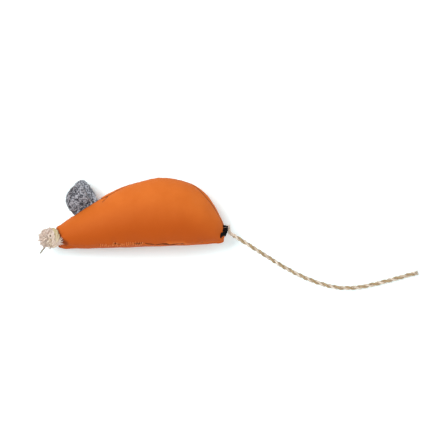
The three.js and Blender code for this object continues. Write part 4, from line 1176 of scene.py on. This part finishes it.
class MOUSE_OT_nose(bpy.types.Operator):
    """Nose: cotton rope through the front seam, one turn of it round the knot, and its frayed end."""

    bl_idname = "catnip_mouse.nose"
    bl_label = "Nose"

    def execute(self, context):
        looks = context.scene.mouse_looks
        # Cotton rope: soft cream streaks, a little light through its fibres, the turn more yellow
        rope = strand_material(
            "cotton_rope", looks.rope_pale, looks.rope_deep, roughness=0.9, sheen=0.2,
            streak=(2.5, 0.2), tint=looks.rope_tint, through=0.2)
        body = Form()
        fade = 0.35 + 0.65 * bump(np.linspace(0, 1, WRAP_STEPS), -1, 0.16, 0.3)
        # Each rope's line, then its strands, their offset, turns, radius and sides, and their marks
        for line, wound, marks in (
                (self.stem(), (3, 1.15, 1.3, 1.3, 12), (0.6, 0.7, 0.8)),
                (self.wrap(), (3, 0.75, 2.6, 0.9, 12), np.outer((0.85, 0.92, 1.0), fade)),
                (self.band(), (3, 0.6, 1.6, 0.72, 12), (0.05, 0.15, 0.25)),
                (self.ring(), (2, 0.28, 3, 0.4, 10), (0.1, 0.3))):
            body.add_rope(*line, *wound, marks)
        body.piece("nose_rope", rope, "body", ["nose_knot"], "cream_rope")
        frays = Form()
        for lines, radii, marks, sides in (*self.head(), self.fuzz(looks), self.star()):
            frays.add_tubes(lines, radii, sides, marks=marks)
        frays.piece("nose_frays", rope, "body", slot="cream_rope")
        # The same cotton, darker: dull grey brown
        greyed = strand_material(
            "greyed_cotton", looks.stray_pale, looks.stray_deep, roughness=0.9, sheen=0.1,
            streak=(2.5, 0.2))
        stray = Form()
        stray.add_tubes(*self.stray(), 8)
        stray.piece("nose_stray", greyed, "body", slot="cream_rope")
        return {"FINISHED"}

    def stem(self):
        """Straight rope from inside the body to the knot."""
        return np.linspace((8, 7.4, 0), (-5.5, 7.0, 0), 40), UP

    def wrap(self):
        """One turn round the stem, its upper half drawn back over the body's front by a sine."""
        angle = np.linspace(-0.25, 2 * np.pi - 0.35, WRAP_STEPS)
        rise = np.sin(angle)
        lean = np.where(rise > 0, 3.8, -1.2) * np.abs(rise) ** 0.7
        line = np.stack([-3.4 + lean, 6.2 + 4.9 * np.cos(angle), 5.0 * rise], -1)
        return line, unit(np.array([1, 0, -0.5]))

    def band(self):
        """Half turn beside the wrapped one, nearer to the ball."""
        angle = np.linspace(0, np.pi, 60)
        rise = np.sin(angle)
        line = np.stack([-3.2 + 0.9 * rise**0.7, 6.2 + 4.7 * np.cos(angle), 4.6 * rise], -1)
        return line, unit(np.array([1, 0, -0.3]))

    def ring(self):
        """Small loop of one yarn on the knot, an ellipse open in its middle."""
        angle = np.linspace(0, 2 * np.pi, 50)
        wide, long = np.cos(angle), np.sin(angle)
        return np.stack([-4.2 + wide, 7.6 + 1.25 * long, 5.2 - 0.4 * wide], -1), np.array(UP)

    def head(self):
        """Frayed ball: curled locks that arch from the knot to an ellipsoid, and fibres at their ends.

        The locks end at evenly turned places of a spiral over the ellipsoid. A lock is a quadratic
        curve whose middle lies out towards the pole near the knot, with a narrow helix on it.
        """
        rng = np.random.default_rng(51)
        count, per_lock = 150, 10
        number = np.arange(count) + 0.5
        height, turn = 1 - 2 * number / count, number * np.pi * (3 - math.sqrt(5))
        ring = np.sqrt(1 - height**2)
        way = np.stack([-height, ring * np.cos(turn), ring * np.sin(turn)], -1)
        way = unit(way + 0.12 * rng.normal(size=way.shape))
        way = way[(way[:, 0] < 0.9) & (way @ NOSE_POLE < 0.9)]
        count = len(way)
        centre, half = np.array(NOSE_CENTRE), np.array(NOSE_HALF_SIZES)
        root = (np.array(NOSE_ROOT) + 0.5 * rng.normal(size=(count, 3)))[:, None]
        end = centre + half * way * rng.uniform(0.8, 1.04, (count, 1))
        middle = (centre + 0.85 * half * unit(way + 0.8 * np.array(NOSE_POLE)))[:, None]
        t = along_fibres(20, 0.12)
        curl = unit(np.cross(way, rng.normal(size=way.shape)))[:, None]
        other = np.cross(way, curl[:, 0])[:, None]
        phase = drawn(rng, 0, 2 * np.pi, count) + 11 * t
        lines = (1 - t) ** 2 * root + 2 * t * (1 - t) * middle + t**2 * end[:, None]
        lines = lines + 0.3 * t * (np.cos(phase) * curl + np.sin(phase) * other)
        low = fading(np.linalg.norm(end - (-4.3, 3.1, 4.0), axis=1), 2.5)
        marks = rng.uniform(0, 0.12, count) + 0.7 * low
        swell = 0.55 + 0.75 * np.sin(np.pi * t[..., 0] ** 1.5)
        locks = lines, rng.uniform(0.46, 0.62, (count, 1)) * swell, marks, 8
        tip, last = lines[:, -1], unit(lines[:, -1] - lines[:, -3])
        which = np.repeat(np.arange(count), per_lock)
        spread = unit(last[which] + 0.5 * rng.normal(size=(len(which), 3)))
        bend = unit(rng.normal(size=spread.shape))[:, None]
        t = along_fibres(6)
        length = drawn(rng, 0.7, 2.4, len(which))
        fibres = (tip - 0.3 * last)[which][:, None]
        fibres = fibres + length * (t * spread[:, None] + 0.35 * t**2 * bend)
        return locks, (fibres, thinning(0.14, 1.25, t), marks[which], 4)

    def fuzz(self, looks):
        """Thin fibres that lie over the ball in all ways, each a parabola along it."""
        rng = np.random.default_rng(53)
        count = looks.nose_fibres
        way = unit(rng.normal(size=(count, 3)))
        way[:, 0] = -np.abs(way[:, 0]) + 0.5 * rng.uniform(0, 1, count)
        way = unit(way)
        far = rng.uniform(0.75, 0.98, (count, 1))
        start = np.array(NOSE_CENTRE) + np.array(NOSE_HALF_SIZES) * way * far
        lay = unit(np.cross(way, rng.normal(size=way.shape)) + 0.25 * way)
        t = along_fibres(6)
        length = drawn(rng, 0.8, 2.0, count)
        curve = np.cross(way, lay)[:, None] * t**2 - 0.5 * t**2 * way[:, None]
        lines = start[:, None] + length * (t * lay[:, None] + 0.6 * curve)
        return lines, thinning(0.06, 1.25, t), rng.uniform(0, 0.12, count), 3

    def star(self):
        """Small star of frays at the lower end of the turn: tufts that lie on the body's front."""
        rng = np.random.default_rng(52)
        ends = np.array([
            (4.3, 2.1, 5.3), (4.4, 4.1, 7.0), (3.9, 6.2, 7.4), (2.8, 7.0, 6.7), (1.4, 7.4, 5.8),
            (-0.3, 6.4, 5.4), (-1.6, 4.6, 5.2), (-1.9, 2.6, 4.2), (-1.3, 0.3, 2.6),
            (0.4, -0.2, 2.6), (2.4, 0.9, 3.4), (3.2, 1.5, 4.2),
        ])
        centre, per_tuft = (0.7, 3.0, 4.9), 12
        which = np.repeat(np.arange(len(ends)), per_tuft)
        count = len(which)
        start = centre + 0.35 * rng.normal(size=(count, 1, 3)) * (1, 1, 0.5)
        reach = drawn(rng, 0.7, 1.0, count)
        t = along_fibres(7)
        way = (ends[which] + 0.3 * rng.normal(size=(count, 3)))[:, None] - start
        lines = start + reach * t * way + (0, 0, 0.5) * np.sin(np.pi * t)
        return lines, thinning(0.15, 1.2, t), rng.uniform(0, 0.15, count), 4

    def stray(self):
        """One long strand of three fibres that hangs out of the ball."""
        points = [(-6.8, 2.6, -1), (-8.3, 0.9, -2), (-10.2, -1.3, -3), (-12.1, -3.5, -3.5)]
        lines = twisted(even_line(points, 24), UP, 0.27, 3, 1.2)
        return lines, np.linspace(0.38, 0.3, 25)


class MOUSE_OT_tack(bpy.types.Operator):
    """Where the tail is sewn on: the twine's end along the rump and the black thread over it."""

    bl_idname = "catnip_mouse.tack"
    bl_label = "Tail stub and its thread"

    def execute(self, context):
        looks = context.scene.mouse_looks
        # The twine's end: the same jute, loosened and paler
        twine = strand_material(
            "jute_twine_end", looks.rope_pale, looks.twine_pale, roughness=0.85, sheen=0.1,
            streak=(2.2, 0.16), tint=looks.twine_tint, through=0.2)
        places = [(*point, 0) for point in STUB_ROUTE]
        tail = np.array(TAIL_ROUTE[0], float) - (0, 0, REST_HEIGHT)
        line = even_line([*places, tail], 60)
        length = way_across(line[None])[0, -1]
        ply = TWINE_DIAMETER / 4
        stub = Form()
        plies = twisted(line, UP, ply, 2, length / looks.twine_pitch, 2.2)
        stub.add_tubes(plies, ply + 0.05, 12, UP, marks=[0.2, 0.7])
        stub.add_tubes(*frayed_end(line[::-1], 160, reach=2.3, seed=61), 3)
        stub.add_tubes(*loose_fibres(line, 110, seed=62), 3)
        stub.piece("tail_stub_twine", twine, "body", ["tail_stub"], "twine")
        # Black cotton thread: nearly no light comes back from it
        black = strand_material(
            "black_sewing_thread", looks.thread_black, linear("#030303"), roughness=0.7, sheen=0.0,
            streak=(0.8, 0.2), specular=0.12)
        thread = Form()
        thread.add_tubes(self.winding(), 0.31, 8, UP)
        thread.add_tubes(self.ends(), 0.28, 8)
        thread.piece("tack_thread", black, "body", ["tail_tack"], "black_thread")
        return {"FINISHED"}

    def winding(self):
        """Overcast stitches round the rump edge and the twine, one after another up the edge.

        Each stitch is half an ellipse, from its hole in the upper flank round the twine to its hole
        in the lower flank, and comes back straight through the body; the holes are a little uneven.
        """
        turns, steps, round_share = 20, 36, 0.7
        count = np.linspace(0, turns, turns * steps, endpoint=False)
        phase, number = count % 1, np.floor(count)[:, None]
        uneven = np.stack([wavy(number, 1.7, seed=63), wavy(number, 1.9, seed=64)], -1)
        inner = spline(TACK_INNER, count / turns) + 0.32 * uneven
        outer = spline(TACK_OUTER, count / turns) + 0.22 * wavy(number, 1.6, seed=65)[:, None]
        rise = np.interp(count / turns, (0, 1), TACK_HEIGHTS)
        angle = np.pi / 2 - np.pi * np.minimum(phase / round_share, 1)
        back = np.maximum(phase - round_share, 0) / (1 - round_share)
        across = np.cos(angle) * (phase < round_share)
        height = np.where(phase < round_share, rise * np.sin(angle), rise * (2 * back - 1))
        place = inner + across[:, None] * (outer - inner)
        return np.concatenate([place, height[:, None]], -1)

    def ends(self):
        """Two long stitches, three threads wide, that fork at the lower end of the winding."""
        left = [(105.2, 6.0, 4.4), (104.7, 4.9, 4.9), (104.3, 3.7, 4.9), (104.0, 2.6, 4.2)]
        right = [(107.7, 6.0, 2.6), (107.4, 5.2, 2.7), (107.1, 4.4, 2.5), (106.8, 3.8, 1.2)]
        beside = np.array((0.36, -0.1, 0))
        return np.stack([
            even_line(np.array(points) + k * beside, 14) for points in (left, right) for k in (-1, 0, 1)])


class MOUSE_OT_closing(bpy.types.Operator):
    """Hand stitches that close the filling gap: slanting whip stitches over the left base seam."""

    bl_idname = "catnip_mouse.closing"
    bl_label = "Closing stitches"

    def execute(self, context):
        looks = context.scene.mouse_looks
        # The seams' thread again, where it lies on the cloth: its gaps take the cloth's own tone
        thread = strand_material(
            "closing_thread", looks.thread_orange, looks.cloth_colour, roughness=0.5, sheen=0.2,
            streak=(1.2, 0.3))
        form = Form()
        lines, marks = self.stitches()
        form.add_tubes(lines, 0.16, 6, marks=marks)
        form.piece("closing_stitches", thread, "body", ["closing_thread"], "orange_thread")
        return {"FINISHED"}

    def stitches(self):
        """Stitches that rise over the seam by a sine and cross it by a cosine, unevenly spaced."""
        rng = np.random.default_rng(81)
        count = CLOSING_STITCHES
        number = np.arange(count) + rng.uniform(-0.25, 0.25, count)
        start = CLOSING_START + CLOSING_LENGTH * number / count
        t = np.linspace(0, 1, 14)
        angle = np.pi * (t * 1.3 - 0.15)
        x = start[:, None] + rng.uniform(0.5, 1.5, count)[:, None] * t
        reach = rng.uniform(1.1, 1.7, count)[:, None]
        share = np.interp(x, [FINE_RIDGE[0, 0], FINE_RIDGE[-1, 0]], [0, 1])
        half = HALF_BASE * (4 * share * (1 - share)) ** BASE_TAPER_POWER
        y = SEAM_LINE + 0.5 - reach * np.cos(angle)
        early = 1 - (x - CLOSING_START) / CLOSING_LENGTH
        z = half + 0.1 + 0.4 * early + 0.55 * np.sin(angle) + 0.45 * (y - SEAM_LINE)
        return np.stack([x, y, z], -1), rng.uniform(0, 1, count)


class MOUSE_PT_panel(bpy.types.Panel):
    """Buttons for the mouse's pieces."""

    bl_idname = "MOUSE_PT_panel"
    bl_label = "Catnip mouse"
    bl_space_type = "VIEW_3D"
    bl_region_type = "UI"
    bl_category = "Mouse"

    def draw(self, context):
        for operator in OPERATORS:
            self.layout.operator(operator.bl_idname)


OPERATORS = (
    MOUSE_OT_stage, MOUSE_OT_tail, MOUSE_OT_cloth, MOUSE_OT_filling, MOUSE_OT_ears, MOUSE_OT_nose,
    MOUSE_OT_tack, MOUSE_OT_closing,
)
CLASSES = (MouseLooks, MouseStage, *OPERATORS, MOUSE_PT_panel)


def register():
    """Registers the classes and the settings."""
    for cls in CLASSES:
        bpy.utils.register_class(cls)
    bpy.types.Scene.mouse_looks = PointerProperty(type=MouseLooks)
    bpy.types.Scene.mouse_stage = PointerProperty(type=MouseStage)


def unregister():
    """Removes the settings and the classes."""
    del bpy.types.Scene.mouse_looks
    del bpy.types.Scene.mouse_stage
    for cls in reversed(CLASSES):
        bpy.utils.unregister_class(cls)


def main():
    """Builds everything in order."""
    register()
    bpy.ops.catnip_mouse.stage()
    bpy.ops.catnip_mouse.tail()
    bpy.ops.catnip_mouse.cloth()
    bpy.ops.catnip_mouse.filling()
    bpy.ops.catnip_mouse.ears()
    bpy.ops.catnip_mouse.nose()
    bpy.ops.catnip_mouse.tack()
    bpy.ops.catnip_mouse.closing()


if __name__ == "__main__":
    main()
